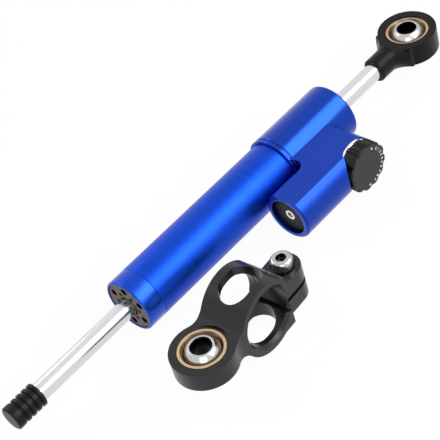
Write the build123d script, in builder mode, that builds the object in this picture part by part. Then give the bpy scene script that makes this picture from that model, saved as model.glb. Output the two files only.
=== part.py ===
"""A linear steering damper for a motorcycle, with its loose body clamp, in millimetres.

The origin is on the tube's axis, in the middle of the plain stretch where the clamp grips in use.
+X runs along the rod towards the rod end, the side housing is towards -Y, and +Z is up from the floor
on which the set lies.
"""
from build123d import *
from math import sqrt
import os

os.makedirs("parts", exist_ok=True)

# Rod and tube
rod_radius = 4.0
tube_radius = 12.0
tube_wall = 2.0
tube_bore_radius = tube_radius - tube_wall
tube_shown_length = 80.8
tube_spigot_step = 0.8
tube_spigot_radius = tube_radius - tube_spigot_step
tube_socket_depth = 12.0
front_rod_shown = 50.4
rear_rod_shown = 28.7

# Collar that holds the front gland
collar_length = 8.4
collar_lip = 1.2
collar_lip_height = 1.1
collar_wall = 0.7
collar_mouth_radius = tube_radius - collar_lip_height
collar_thread_radius = tube_radius - collar_wall
collar_chamfer = 0.5

# Head barrel and the side housing beside it
head_step = 1.25
head_radius = tube_radius + head_step
head_length = 39.5
head_edge_radius = 1.2
head_lip_width = 1.5
head_lip_round = 0.5
head_groove_width = 0.6
head_groove_depth = 0.5
side_radius = 10.75
side_gap = 1.0
side_drop = 0.75
side_front_reach = 19.4
side_chamfer = 0.8
flat_height = 8.4
slot_radius = 4.0
web_front_setback = 1.7

# Compensator bore and plug in the side housing
plug_wall = 1.55
plug_radius = side_radius - plug_wall
plug_setback = 1.6
plug_thickness = 3.6
plug_stem_length = 3.6
plug_chamfer = 0.5
compensator_wall = 2.95
compensator_bore_radius = side_radius - compensator_wall
compensator_end_wall = 1.2
compensator_piston_length = 5.5
compensator_recess_depth = 1.4
compensator_fluid_space = 1.6
spring_wire = 1.1
spring_coils = 4
spring_inset = 0.6
bleed_screw_head_radius = 2.4
bleed_screw_head_height = 1.8
bleed_screw_radius = 1.5
bleed_screw_length = 5.0
bleed_screw_socket_radius = 1.35
bleed_screw_socket_depth = 1.2

# Adjuster valve
valve_from_head_end = 20.2
valve_radius = 5.6
valve_depth = 11.0
valve_face_offset = 27.3
port_radius = 1.5
seat_ring_radius = 10.1
seat_ring_thickness = 1.0
seat_ring_chamfer = 0.25
spindle_radius = 2.5
spindle_collar_radius = 3.6
spindle_collar_length = 2.4
spindle_collar_inset = 3.0
needle_radius = 1.1
needle_tip_radius = 0.4
needle_tip_length = 1.4
needle_key_width = 3.0
needle_key_length = 1.2
needle_travel = 0.375
needle_seat_length = 3.6
needle_port_radius = 0.7
needle_port_length = 0.8

# Adjuster knob
knob_radius = 10.9
knob_thickness = 6.4
knob_gap = 0.5
knob_scallops = 12
knob_scallop_radius = 3.2
knob_scallop_depth = 0.7
knob_chamfer = 0.5
knob_boss_depth = 4.4

# Glands that guide the rod at both ends
gland_face_setback = 0.3
gland_flange_end = 3.2
gland_flange_gap = 0.1
gland_flange_radius = collar_thread_radius - gland_flange_gap
gland_length = 14.0
gland_mouth_gap = 0.45
gland_mouth_radius = rod_radius + gland_mouth_gap
gland_stack_wall = 2.3
gland_stack_radius = rod_radius + gland_stack_wall
gland_stack_start = 2.1
rear_stack_start = 1.2
wiper_length = 2.4
wiper_lip = 0.6
rod_seal_length = 3.2
rod_seal_wall = 0.75
gland_hole_radius = 1.55
gland_hole_inset = 2.7
gland_hole_place_radius = collar_mouth_radius - gland_hole_inset
gland_hole_depth = 2.0
gland_small_hole_radius = 0.85
gland_small_hole_offset = 1.9
gland_small_hole_place_radius = rod_radius + gland_small_hole_offset
gland_small_hole_depth = 1.4
gland_holes = 6
gland_hole_start_angle = 30.0
gland_edge_chamfer = 0.3
rear_gland_step = 1.0
rear_gland_radius = tube_bore_radius - rear_gland_step
rear_gland_lip_radius = rear_gland_radius - rear_gland_step
rear_gland_lip = 1.5
rear_gland_setback = 1.6
circlip_thickness = 1.0
circlip_depth = 0.7
circlip_width = 1.7
circlip_gap = 5.0

# Piston
piston_gap = 0.2
piston_radius = tube_bore_radius - piston_gap
piston_length = 10.0
piston_offset = 54.0
piston_ring_width = 3.0
piston_ring_depth = 1.3
piston_chamfer = 0.5
rod_groove_depth = 0.6
rod_clip_thickness = 0.8
rod_clip_height = 1.6
rod_clip_radius = rod_radius + rod_clip_height

# Rubber stop on the free end of the rod
stop_length = 14.5
stop_wall = 1.2
stop_radius = rod_radius + stop_wall
stop_groove_depth = 0.8
stop_grooves = 4
stop_land_share = 0.6
stop_groove_slope = 0.27
stop_cap_length = 3.6
stop_chamfer = 0.5
rod_stub_step = 1.0
rod_stub_radius = rod_radius - rod_stub_step
rod_stub_length = 11.0

# Spherical bearings of the 8 mm size, in the rod end and in the clamp
ball_radius = 7.9375
ball_width = 12.0
ball_bore_radius = 4.0
ball_bore_chamfer = 0.5
race_radius = 9.5
race_width = 9.0
race_mouth_radius = 8.4
race_mouth_depth = 1.5

# Rod end
eye_radius = 13.0
eye_thickness = 10.0
neck_to_eye = 24.9
neck_wall = 1.6
neck_radius = rod_radius + neck_wall
neck_flare_radius = 13.0
neck_mill_distance = 14.5
neck_mill_radius = 8.0
neck_mill_angle = 80.0
neck_rim_chamfer = 0.5
rod_stud_step = 1.0
rod_stud_radius = rod_radius - rod_stud_step
rod_stud_length = 9.0

# Body clamp
clamp_turn = 4.1
clamp_eye_thickness = 8.4
clamp_eye_to_ring = 27.1
clamp_ring_drop = 1.0
clamp_bore_gap = 0.05
clamp_bore_radius = tube_radius + clamp_bore_gap
clamp_wall = 3.8
clamp_width = 20.8
clamp_bore_chamfer = 1.3
clamp_relief_width = 12.0
clamp_relief_depth = 0.15
clamp_waist_radius = 12.0
clamp_ramp_radius = 9.0
clamp_spotface_radius = 10.8
clamp_window_length = 19.5
clamp_window_width = 13.4
clamp_slit_width = 1.8
clamp_ear_reach = 23.1
clamp_ear_drop = 6.8
clamp_ear_radius = 7.0
clamp_ear_height = 15.8
clamp_ear_fillet = 3.0
clamp_screw_head_radius = 4.5
clamp_screw_head_height = 5.6
clamp_screw_head_chamfer = 0.8
clamp_screw_radius = 2.5
clamp_screw_socket_radius = 2.3
clamp_screw_socket_depth = 2.5
clamp_screw_end_wall = 1.5
counterbore_radius = 5.3
counterbore_depth = 0.7
clamp_eye_x_from_front = -4.4
clamp_eye_y = -46.5

# Rings, fits and cutting
o_ring_radius = 0.9
o_ring_side = 0.15
fit = 0.05
rod_fit = 0.04
seal_fit = 0.02
ring_fit = 0.03
mouth_overrun = 0.5
overrun = 60.0

# Places along X, from the front of the collar
seat_length = tube_shown_length - side_front_reach
front_x = -(collar_length + seat_length / 2)
collar_end_x = front_x + collar_length
head_x = collar_end_x + tube_shown_length
head_end_x = head_x + head_length
side_front_x = head_x - side_front_reach
tube_end_x = head_x + tube_socket_depth
gland_face_x = front_x + gland_face_setback
valve_x = head_end_x - valve_from_head_end
side_y = -(tube_radius + side_gap + side_radius)
side_z = -side_drop
floor_z = -head_radius
chamber_end_x = head_end_x - gland_length
piston_x = front_x + piston_offset
stop_inner_x = front_x - front_rod_shown
stop_outer_x = stop_inner_x - stop_length
neck_x = head_end_x + rear_rod_shown
eye_x = neck_x + neck_to_eye
valve_face_y = -valve_face_offset
valve_end_y = valve_face_y + valve_depth
knob_back_y = valve_face_y - seat_ring_thickness - knob_gap
knob_face_y = knob_back_y - knob_thickness

# Planes whose first direction is the axis of what is turned on them, and whose second is its radius
main_plane = Plane.XZ
main_axis = Axis.X
side_plane = Plane(origin=(0, side_y, side_z), x_dir=(1, 0, 0), z_dir=(0, -1, 0))
side_axis = Axis((0, side_y, side_z), (1, 0, 0))
valve_plane = Plane(origin=(valve_x, 0, side_z), x_dir=(0, 1, 0), z_dir=(1, 0, 0))
valve_axis = Axis((valve_x, 0, side_z), (0, 1, 0))


def outline(plane, points):
    """A flat face with straight sides through the points."""
    with BuildSketch(plane) as sketch:
        with BuildLine():
            Polyline(*points, close=True)
        make_face()
    return sketch.sketch


def band(plane, start, end, inner, outer):
    """The half section of a plain ring between two places on its axis."""
    return outline(plane, [(start, inner), (end, inner), (end, outer), (start, outer)])


def o_ring_section(plane, place, radius):
    """The round half section of a rubber ring whose middle lies at that radius."""
    with BuildSketch(plane) as sketch:
        with Locations((place, radius)):
            Circle(o_ring_radius)
    return sketch.sketch


def finish(block, label):
    """Names a finished piece and writes it."""
    block.part.label = label
    export_step(block.part, f"parts/{label}.step")


# The main tube has a thin spigot at each end, one for the collar and one for the head
with BuildPart() as main_tube:
    revolve(
        outline(
            main_plane,
            [
                (front_x + gland_flange_end, tube_bore_radius),
                (tube_end_x, tube_bore_radius),
                (tube_end_x, tube_spigot_radius),
                (head_x, tube_spigot_radius),
                (head_x, tube_radius),
                (collar_end_x, tube_radius),
                (collar_end_x, collar_thread_radius - fit),
                (front_x + gland_flange_end, collar_thread_radius - fit),
            ],
        ),
        axis=main_axis,
    )
finish(main_tube, "main_tube")

# The front collar screws over the tube and its lip holds the gland
with BuildPart() as front_collar:
    revolve(
        outline(
            main_plane,
            [
                (front_x, collar_mouth_radius),
                (front_x, tube_radius - collar_chamfer),
                (front_x + collar_chamfer, tube_radius),
                (collar_end_x, tube_radius),
                (collar_end_x, collar_thread_radius),
                (front_x + collar_lip, collar_thread_radius),
                (front_x + collar_lip, collar_mouth_radius),
            ],
        ),
        axis=main_axis,
    )
finish(front_collar, "front_collar")

# The front gland is a disc with a long plug behind it and two rings of blind holes in its face
front_groove_x = front_x + (gland_flange_end + gland_length) / 2
groove_radius = tube_bore_radius - 2 * o_ring_radius
with BuildPart() as front_gland:
    revolve(
        outline(
            main_plane,
            [
                (gland_face_x, gland_mouth_radius),
                (gland_face_x, collar_mouth_radius - fit - gland_edge_chamfer),
                (gland_face_x + gland_edge_chamfer, collar_mouth_radius - fit),
                (front_x + collar_lip, collar_mouth_radius - fit),
                (front_x + collar_lip, gland_flange_radius),
                (front_x + gland_flange_end, gland_flange_radius),
                (front_x + gland_flange_end, tube_bore_radius - fit),
                (front_groove_x - o_ring_radius - o_ring_side, tube_bore_radius - fit),
                (front_groove_x - o_ring_radius - o_ring_side, groove_radius),
                (front_groove_x + o_ring_radius + o_ring_side, groove_radius),
                (front_groove_x + o_ring_radius + o_ring_side, tube_bore_radius - fit),
                (front_x + gland_length, tube_bore_radius - fit),
                (front_x + gland_length, gland_stack_radius),
                (gland_face_x + gland_stack_start, gland_stack_radius),
                (gland_face_x + gland_stack_start, gland_mouth_radius),
            ],
        ),
        axis=main_axis,
    )
    gland_face = Plane(origin=(gland_face_x, 0, 0), x_dir=(0, 1, 0), z_dir=(-1, 0, 0))
    with BuildSketch(gland_face):
        with PolarLocations(gland_hole_place_radius, gland_holes, start_angle=gland_hole_start_angle):
            Circle(gland_hole_radius)
    extrude(amount=-gland_hole_depth, mode=Mode.SUBTRACT)
    with BuildSketch(gland_face):
        with PolarLocations(gland_small_hole_place_radius, gland_holes):
            Circle(gland_small_hole_radius)
    extrude(amount=-gland_small_hole_depth, mode=Mode.SUBTRACT)
finish(front_gland, "front_gland")

# The head is one block: the barrel, the side housing with its round end, and the web that joins them
web_front_x = head_x + web_front_setback - slot_radius
slot_y = -(tube_radius + head_radius) / 2 - side_gap
with BuildPart() as head_body:
    web_height = flat_height - side_z
    with BuildSketch(Plane.XY.offset(side_z - web_height)):
        with BuildLine():
            Polyline((web_front_x, 0), (valve_x, 0), (valve_x, side_y), (web_front_x, side_y), close=True)
        make_face()
        with Locations((web_front_x, slot_y)):
            Circle(slot_radius, mode=Mode.SUBTRACT)
    extrude(amount=2 * web_height)
    with BuildSketch(Plane.YZ.offset(side_front_x)):
        with Locations((side_y, side_z)):
            Circle(side_radius)
    extrude(amount=valve_x - side_front_x)
    chamfer(head_body.edges().group_by(Axis.X)[0], side_chamfer)
    with BuildSketch(Plane.XZ):
        with Locations((valve_x, side_z)):
            Circle(side_radius)
    extrude(amount=valve_face_offset)
    with BuildSketch(Plane.XY.offset(flat_height)):
        with Locations((side_front_x, side_y)):
            Rectangle(2 * overrun, -2 * side_y)
    extrude(amount=overrun, mode=Mode.SUBTRACT)
    revolve(
        band(main_plane, web_front_x - overrun, head_x, 0, tube_radius + side_gap),
        axis=main_axis,
        mode=Mode.SUBTRACT,
    )
    with BuildSketch(Plane.XZ.offset(valve_face_offset)):
        with Locations((valve_x, side_z)):
            Circle(knob_radius + knob_gap)
    extrude(amount=overrun, mode=Mode.SUBTRACT)
    groove_start_x = head_x + head_lip_width
    groove_end_x = groove_start_x + head_groove_width
    with BuildSketch(main_plane) as barrel_profile:
        with BuildLine():
            Polyline(
                (head_x, 0),
                (head_x, head_radius),
                (groove_start_x, head_radius),
                (groove_start_x, head_radius - head_groove_depth),
                (groove_end_x, head_radius - head_groove_depth),
                (groove_end_x, head_radius),
                (head_end_x, head_radius),
                (head_end_x, 0),
                close=True,
            )
        make_face()
        rims = barrel_profile.vertices().group_by(Axis.Y)[-1].sort_by(Axis.X)
        fillet([rims[0], rims[1], rims[2]], head_lip_round)
        fillet(barrel_profile.vertices().group_by(Axis.Y)[-1].sort_by(Axis.X)[-1], head_edge_radius)
    revolve(axis=main_axis)
    # Chamber, thread for the tube, and the bore that takes the rear gland
    revolve(
        outline(
            main_plane,
            [
                (head_x - fit, 0),
                (head_x - fit, tube_spigot_radius + fit),
                (tube_end_x, tube_spigot_radius + fit),
                (tube_end_x, tube_bore_radius),
                (chamber_end_x, tube_bore_radius),
                (chamber_end_x, rear_gland_lip_radius),
                (chamber_end_x + rear_gland_lip, rear_gland_lip_radius),
                (chamber_end_x + rear_gland_lip, rear_gland_radius),
                (head_end_x - rear_gland_setback, rear_gland_radius),
                (head_end_x - rear_gland_setback, rear_gland_radius + circlip_depth),
                (head_end_x - rear_gland_setback + circlip_thickness, rear_gland_radius + circlip_depth),
                (head_end_x - rear_gland_setback + circlip_thickness, rear_gland_radius),
                (head_end_x + mouth_overrun, rear_gland_radius),
                (head_end_x + mouth_overrun, 0),
            ],
        ),
        axis=main_axis,
        mode=Mode.SUBTRACT,
    )
    # Compensator bore with its wider mouth, then the valve bore and the passages between the spaces
    compensator_end_x = valve_x - knob_radius - knob_gap - compensator_end_wall
    revolve(
        outline(
            side_plane,
            [
                (side_front_x - mouth_overrun, 0),
                (side_front_x - mouth_overrun, plug_radius + fit),
                (side_front_x + plug_setback + plug_thickness, plug_radius + fit),
                (side_front_x + plug_setback + plug_thickness, compensator_bore_radius),
                (compensator_end_x, compensator_bore_radius),
                (compensator_end_x, port_radius),
                (valve_x, port_radius),
                (valve_x, 0),
            ],
        ),
        axis=side_axis,
        mode=Mode.SUBTRACT,
    )
    revolve(
        outline(
            valve_plane,
            [
                (valve_face_y - mouth_overrun, 0),
                (valve_face_y - mouth_overrun, valve_radius + fit),
                (valve_end_y, valve_radius + fit),
                (valve_end_y, port_radius),
                (0, port_radius),
                (0, 0),
            ],
        ),
        axis=valve_axis,
        mode=Mode.SUBTRACT,
    )
finish(head_body, "head_body")

# Rear gland with its own groove, held in by a spring clip
rear_face_x = head_end_x - rear_gland_setback
rear_inner_x = chamber_end_x + rear_gland_lip
rear_groove_x = (rear_face_x + rear_inner_x) / 2
with BuildPart() as rear_gland:
    revolve(
        outline(
            main_plane,
            [
                (rear_inner_x, gland_stack_radius),
                (rear_inner_x, rear_gland_radius - fit),
                (rear_groove_x - o_ring_radius - o_ring_side, rear_gland_radius - fit),
                (rear_groove_x - o_ring_radius - o_ring_side, rear_gland_radius - 2 * o_ring_radius),
                (rear_groove_x + o_ring_radius + o_ring_side, rear_gland_radius - 2 * o_ring_radius),
                (rear_groove_x + o_ring_radius + o_ring_side, rear_gland_radius - fit),
                (rear_face_x, rear_gland_radius - fit),
                (rear_face_x, gland_mouth_radius),
                (rear_face_x - rear_stack_start, gland_mouth_radius),
                (rear_face_x - rear_stack_start, gland_stack_radius),
            ],
        ),
        axis=main_axis,
    )
finish(rear_gland, "rear_gland")

with BuildPart() as rear_circlip:
    revolve(
        band(
            main_plane,
            rear_face_x,
            rear_face_x + circlip_thickness,
            rear_gland_radius + circlip_depth - circlip_width,
            rear_gland_radius + circlip_depth,
        ),
        axis=main_axis,
    )
    with BuildSketch(Plane.YZ.offset(rear_face_x)):
        with Locations((0, rear_gland_radius)):
            Rectangle(circlip_gap, 2 * circlip_width)
    extrude(amount=circlip_thickness, mode=Mode.SUBTRACT)
finish(rear_circlip, "rear_circlip")

# Rubber rings in the grooves of both glands
for label, place, radius in (
    ("front_gland_o_ring", front_groove_x, tube_bore_radius - o_ring_radius),
    ("rear_gland_o_ring", rear_groove_x, rear_gland_radius - o_ring_radius),
):
    with BuildPart() as gland_ring:
        revolve(o_ring_section(main_plane, place, radius), axis=main_axis)
    finish(gland_ring, label)

# Each gland holds a wiper, a lip seal and a bush, counted from its outer face inwards
for end, outer_x, inner_x in (
    ("front", gland_face_x + gland_stack_start, front_x + gland_length),
    ("rear", rear_face_x - rear_stack_start, rear_inner_x),
):
    inward = 1 if inner_x > outer_x else -1
    seal_x = outer_x + inward * wiper_length
    bush_x = seal_x + inward * rod_seal_length
    with BuildPart() as wiper:
        revolve(
            outline(
                main_plane,
                [
                    (outer_x, rod_radius + seal_fit),
                    (outer_x + inward * wiper_lip, rod_radius + seal_fit),
                    (outer_x + inward * 2 * wiper_lip, rod_radius + wiper_lip),
                    (seal_x, rod_radius + wiper_lip),
                    (seal_x, gland_stack_radius),
                    (outer_x, gland_stack_radius),
                ],
            ),
            axis=main_axis,
        )
    finish(wiper, f"{end}_wiper")
    with BuildPart() as rod_seal:
        revolve(
            outline(
                main_plane,
                [
                    (seal_x, rod_radius + seal_fit),
                    (bush_x, rod_radius + seal_fit),
                    (bush_x, rod_radius + rod_seal_wall),
                    (seal_x + inward * rod_seal_length / 2, (rod_radius + gland_stack_radius) / 2),
                    (bush_x, gland_stack_radius - rod_seal_wall),
                    (bush_x, gland_stack_radius),
                    (seal_x, gland_stack_radius),
                ],
            ),
            axis=main_axis,
        )
    finish(rod_seal, f"{end}_rod_seal")
    with BuildPart() as bush:
        revolve(band(main_plane, bush_x, inner_x, rod_radius + rod_fit, gland_stack_radius), axis=main_axis)
    finish(bush, f"{end}_bush")

# The rod runs right through, with a stub for the stop, two clip grooves and a stud for the rod end
clip_places = (piston_x - piston_length / 2 - rod_clip_thickness, piston_x + piston_length / 2)
clip_bore_radius = rod_radius - rod_groove_depth
with BuildPart() as piston_rod:
    revolve(
        outline(
            main_plane,
            [
                (stop_inner_x - rod_stub_length, 0),
                (stop_inner_x - rod_stub_length, rod_stub_radius),
                (stop_inner_x, rod_stub_radius),
                (stop_inner_x, rod_radius),
                (neck_x, rod_radius),
                (neck_x, rod_stud_radius),
                (neck_x + rod_stud_length, rod_stud_radius),
                (neck_x + rod_stud_length, 0),
            ],
        ),
        axis=main_axis,
    )
    for clip_x in clip_places:
        revolve(
            band(main_plane, clip_x, clip_x + rod_clip_thickness, clip_bore_radius, rod_radius + fit),
            axis=main_axis,
            mode=Mode.SUBTRACT,
        )
finish(piston_rod, "piston_rod")

with BuildPart() as piston:
    ring_start_x = piston_x - piston_ring_width / 2
    ring_end_x = piston_x + piston_ring_width / 2
    revolve(
        outline(
            main_plane,
            [
                (piston_x - piston_length / 2, rod_radius),
                (piston_x - piston_length / 2, piston_radius - piston_chamfer),
                (piston_x - piston_length / 2 + piston_chamfer, piston_radius),
                (ring_start_x, piston_radius),
                (ring_start_x, piston_radius - piston_ring_depth),
                (ring_end_x, piston_radius - piston_ring_depth),
                (ring_end_x, piston_radius),
                (piston_x + piston_length / 2 - piston_chamfer, piston_radius),
                (piston_x + piston_length / 2, piston_radius - piston_chamfer),
                (piston_x + piston_length / 2, rod_radius),
            ],
        ),
        axis=main_axis,
    )
finish(piston, "piston")

with BuildPart() as piston_ring:
    revolve(
        band(
            main_plane,
            ring_start_x + fit,
            ring_end_x - fit,
            piston_radius - piston_ring_depth + fit,
            tube_bore_radius - ring_fit,
        ),
        axis=main_axis,
    )
finish(piston_ring, "piston_ring")

with BuildPart() as piston_clips:
    for clip_x in clip_places:
        revolve(
            band(main_plane, clip_x, clip_x + rod_clip_thickness, clip_bore_radius, rod_clip_radius),
            axis=main_axis,
        )
finish(piston_clips, "piston_clips")

# The rubber stop is ribbed along its length and plain at its closed end
with BuildPart() as end_stop:
    revolve(
        outline(
            main_plane,
            [
                (stop_outer_x, 0),
                (stop_outer_x, stop_radius - stop_chamfer),
                (stop_outer_x + stop_chamfer, stop_radius),
                (stop_inner_x - stop_chamfer, stop_radius),
                (stop_inner_x, stop_radius - stop_chamfer),
                (stop_inner_x, rod_stub_radius + fit),
                (stop_inner_x - rod_stub_length, rod_stub_radius + fit),
                (stop_inner_x - rod_stub_length, 0),
            ],
        ),
        axis=main_axis,
    )
    groove_pitch = (stop_length - stop_cap_length) / stop_grooves
    groove_width = groove_pitch * (1 - stop_land_share)
    for index in range(stop_grooves):
        groove_x = stop_outer_x + stop_cap_length + index * groove_pitch
        revolve(
            outline(
                main_plane,
                [
                    (groove_x, stop_radius + fit),
                    (groove_x + stop_groove_slope, stop_radius - stop_groove_depth),
                    (groove_x + groove_width - stop_groove_slope, stop_radius - stop_groove_depth),
                    (groove_x + groove_width, stop_radius + fit),
                ],
            ),
            axis=main_axis,
            mode=Mode.SUBTRACT,
        )
finish(end_stop, "end_stop")

# The rod end: a turned neck that flares into a flat eye
plan_neck = neck_radius + neck_rim_chamfer
flare_x = eye_x - sqrt((eye_radius + neck_flare_radius) ** 2 - (plan_neck + neck_flare_radius) ** 2)
touch_share = eye_radius / (eye_radius + neck_flare_radius)
touch_x = eye_x + (flare_x - eye_x) * touch_share
touch_y = (plan_neck + neck_flare_radius) * touch_share
with BuildPart() as rod_end:
    with BuildSketch(main_plane):
        with BuildLine():
            Line((neck_x, 0), (neck_x, neck_radius - neck_rim_chamfer))
            Line((neck_x, neck_radius - neck_rim_chamfer), (neck_x + neck_rim_chamfer, neck_radius))
            Line((neck_x + neck_rim_chamfer, neck_radius), (flare_x, neck_radius))
            cone = JernArc((flare_x, neck_radius), (1, 0), neck_mill_radius, neck_mill_angle)
            Line(cone @ 1, (cone @ 1).X * Vector(1, 0) + Vector(0, eye_radius + eye_thickness))
            Line(
                (cone @ 1).X * Vector(1, 0) + Vector(0, eye_radius + eye_thickness),
                (eye_x + 2 * eye_radius, eye_radius + eye_thickness),
            )
            Line((eye_x + 2 * eye_radius, eye_radius + eye_thickness), (eye_x + 2 * eye_radius, 0))
            Line((eye_x + 2 * eye_radius, 0), (neck_x, 0))
        make_face()
    revolve(axis=main_axis)
    with BuildSketch(Plane.XY.offset(-overrun / 2)):
        with Locations((eye_x, 0)):
            Circle(eye_radius)
        with BuildLine():
            upper = Line((neck_x - fit, plan_neck), (flare_x, plan_neck))
            RadiusArc(upper @ 1, (touch_x, touch_y), neck_flare_radius)
            Line((touch_x, touch_y), (touch_x, -touch_y))
            RadiusArc((touch_x, -touch_y), (flare_x, -plan_neck), neck_flare_radius)
            Line((flare_x, -plan_neck), (neck_x - fit, -plan_neck))
            Line((neck_x - fit, -plan_neck), (neck_x - fit, plan_neck))
        make_face()
    extrude(amount=overrun, mode=Mode.INTERSECT)
    for side in (1, -1):
        with BuildSketch(Plane.XY.offset(side * eye_thickness / 2)):
            with Locations((eye_x - neck_mill_distance + overrun / 2, 0)):
                Rectangle(overrun, overrun)
        extrude(amount=side * overrun, mode=Mode.SUBTRACT)
    with BuildSketch(Plane.XY.offset(-eye_thickness)):
        with Locations((eye_x, 0)):
            Circle(race_radius)
    extrude(amount=2 * eye_thickness, mode=Mode.SUBTRACT)
    revolve(
        band(main_plane, neck_x - fit, neck_x + rod_stud_length, 0, rod_stud_radius),
        axis=main_axis,
        mode=Mode.SUBTRACT,
    )
finish(rod_end, "rod_end")

# The clamp lies on the floor on the round of its ring, level, as it is shown
clamp_ring_radius = clamp_bore_radius + clamp_wall
clamp_x = front_x + clamp_eye_x_from_front
clamp_z = floor_z + clamp_ring_radius + clamp_ring_drop
clamp_place = Vector(clamp_x, clamp_eye_y, clamp_z)
clamp_along = Vector(1, 0, 0).rotate(Axis.Z, clamp_turn)
clamp_across = Vector(0, 1, 0).rotate(Axis.Z, clamp_turn)
clamp_plan = Plane(origin=clamp_place, x_dir=clamp_along, z_dir=(0, 0, 1))
clamp_side = Plane(origin=clamp_place, x_dir=clamp_along, z_dir=-clamp_across)
clamp_screw_x = clamp_eye_to_ring + clamp_ear_reach
clamp_ear_z = -clamp_ring_drop - clamp_ear_drop
with BuildPart() as clamp_body:
    with BuildSketch(clamp_plan.offset(-overrun / 2)) as plan_view:
        Circle(eye_radius)
        with Locations((clamp_eye_to_ring / 2 + clamp_bore_radius / 2, 0)):
            Rectangle(clamp_eye_to_ring + clamp_bore_radius, clamp_width)
        corners = plan_view.vertices()
        waist = [v for v in corners if abs(abs(v.Y) - clamp_width / 2) < fit and v.X < eye_radius]
        fillet(waist, clamp_waist_radius)
        with Locations((clamp_screw_x / 2 + clamp_eye_to_ring / 2, 0)):
            Rectangle(clamp_ear_reach, 2 * clamp_ear_radius)
        with Locations((clamp_screw_x, 0)):
            Circle(clamp_ear_radius)
    extrude(amount=overrun)
    with BuildSketch(clamp_side.offset(-overrun / 2)) as side_view:
        with Locations((clamp_eye_to_ring / 2 - eye_radius / 2, 0)):
            Rectangle(clamp_eye_to_ring + eye_radius, clamp_eye_thickness)
        with Locations((clamp_eye_to_ring, -clamp_ring_drop)):
            Circle(clamp_ring_radius)
        with Locations((clamp_eye_to_ring + (clamp_ear_reach + clamp_ear_radius) / 2, clamp_ear_z)):
            Rectangle(clamp_ear_reach + clamp_ear_radius, clamp_ear_height)
        corners = side_view.vertices()
        eye_rims = [v for v in corners if abs(abs(v.Y) - clamp_eye_thickness / 2) < fit]
        ramps = [v for v in eye_rims if 0 < v.X < clamp_eye_to_ring]
        fillet(ramps, clamp_ramp_radius)
        corners = side_view.vertices()
        ear_rims = [v for v in corners if abs(abs(v.Y - clamp_ear_z) - clamp_ear_height / 2) < fit]
        ears = [v for v in ear_rims if v.X < clamp_screw_x]
        fillet(ears, clamp_ear_fillet)
    extrude(amount=overrun, mode=Mode.INTERSECT)
    # Seat and spotface of the bearing, on both sides of the eye
    with BuildSketch(clamp_plan.offset(-clamp_eye_thickness)):
        Circle(race_radius)
    extrude(amount=2 * clamp_eye_thickness, mode=Mode.SUBTRACT)
    for side in (1, -1):
        with BuildSketch(clamp_plan.offset(side * clamp_eye_thickness / 2)):
            Circle(clamp_spotface_radius)
        extrude(amount=side * clamp_eye_thickness, mode=Mode.SUBTRACT)
    # Bore for the tube, chamfered at both rims and relieved in the middle, so that it grips in two bands
    ring_place = clamp_place + clamp_along * clamp_eye_to_ring - Vector(0, 0, clamp_ring_drop)
    bore_plane = Plane(ring_place, x_dir=clamp_across, z_dir=clamp_along)
    rim = clamp_bore_radius + clamp_bore_chamfer
    revolve(
        outline(
            bore_plane,
            [
                (-clamp_width / 2 - fit, 0),
                (-clamp_width / 2 - fit, rim + fit),
                (-clamp_width / 2 + clamp_bore_chamfer, clamp_bore_radius),
                (-clamp_relief_width / 2, clamp_bore_radius),
                (-clamp_relief_width / 2, clamp_bore_radius + clamp_relief_depth),
                (clamp_relief_width / 2, clamp_bore_radius + clamp_relief_depth),
                (clamp_relief_width / 2, clamp_bore_radius),
                (clamp_width / 2 - clamp_bore_chamfer, clamp_bore_radius),
                (clamp_width / 2 + fit, rim + fit),
                (clamp_width / 2 + fit, 0),
            ],
        ),
        axis=Axis(bore_plane.origin, clamp_across),
        mode=Mode.SUBTRACT,
    )
    # Window through both walls of the ring, and the slit that lets it close
    with BuildSketch(clamp_plan.offset(-overrun / 2)):
        with Locations((clamp_eye_to_ring, 0)):
            SlotOverall(clamp_window_length, clamp_window_width)
    extrude(amount=overrun, mode=Mode.SUBTRACT)
    with BuildSketch(clamp_side.offset(-overrun / 2)):
        with Locations((clamp_eye_to_ring + overrun / 2, clamp_ear_z)):
            Rectangle(overrun, clamp_slit_width)
    extrude(amount=overrun, mode=Mode.SUBTRACT)
    # Counterbore, clearance hole above the slit and tapped hole below it
    ear_top = clamp_plan.offset(clamp_ear_z + clamp_ear_height / 2)
    with BuildSketch(ear_top):
        with Locations((clamp_screw_x, 0)):
            Circle(counterbore_radius)
    extrude(amount=-counterbore_depth, mode=Mode.SUBTRACT)
    with BuildSketch(ear_top):
        with Locations((clamp_screw_x, 0)):
            Circle(clamp_screw_radius + 2 * fit)
    extrude(amount=-clamp_ear_height / 2, mode=Mode.SUBTRACT)
    with BuildSketch(ear_top):
        with Locations((clamp_screw_x, 0)):
            Circle(clamp_screw_radius)
    extrude(amount=-clamp_ear_height, mode=Mode.SUBTRACT)
finish(clamp_body, "clamp_body")

with BuildPart() as clamp_screw:
    seat_z = clamp_ear_z + clamp_ear_height / 2 - counterbore_depth
    screw_plane = Plane(clamp_place + clamp_along * clamp_screw_x, x_dir=(0, 0, 1), z_dir=(0, 1, 0))
    screw_end_z = clamp_ear_z - clamp_ear_height / 2 + clamp_screw_end_wall
    head_top_z = seat_z + clamp_screw_head_height
    revolve(
        outline(
            screw_plane,
            [
                (screw_end_z, 0),
                (screw_end_z, clamp_screw_radius),
                (seat_z, clamp_screw_radius),
                (seat_z, clamp_screw_head_radius),
                (head_top_z - clamp_screw_head_chamfer, clamp_screw_head_radius),
                (head_top_z, clamp_screw_head_radius - clamp_screw_head_chamfer),
                (head_top_z, 0),
            ],
        ),
        axis=Axis(screw_plane.origin, (0, 0, 1)),
    )
    with BuildSketch(clamp_plan.offset(head_top_z)):
        with Locations((clamp_screw_x, 0)):
            RegularPolygon(clamp_screw_socket_radius, 6)
    extrude(amount=-clamp_screw_socket_depth, mode=Mode.SUBTRACT)
finish(clamp_screw, "clamp_screw")

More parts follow.
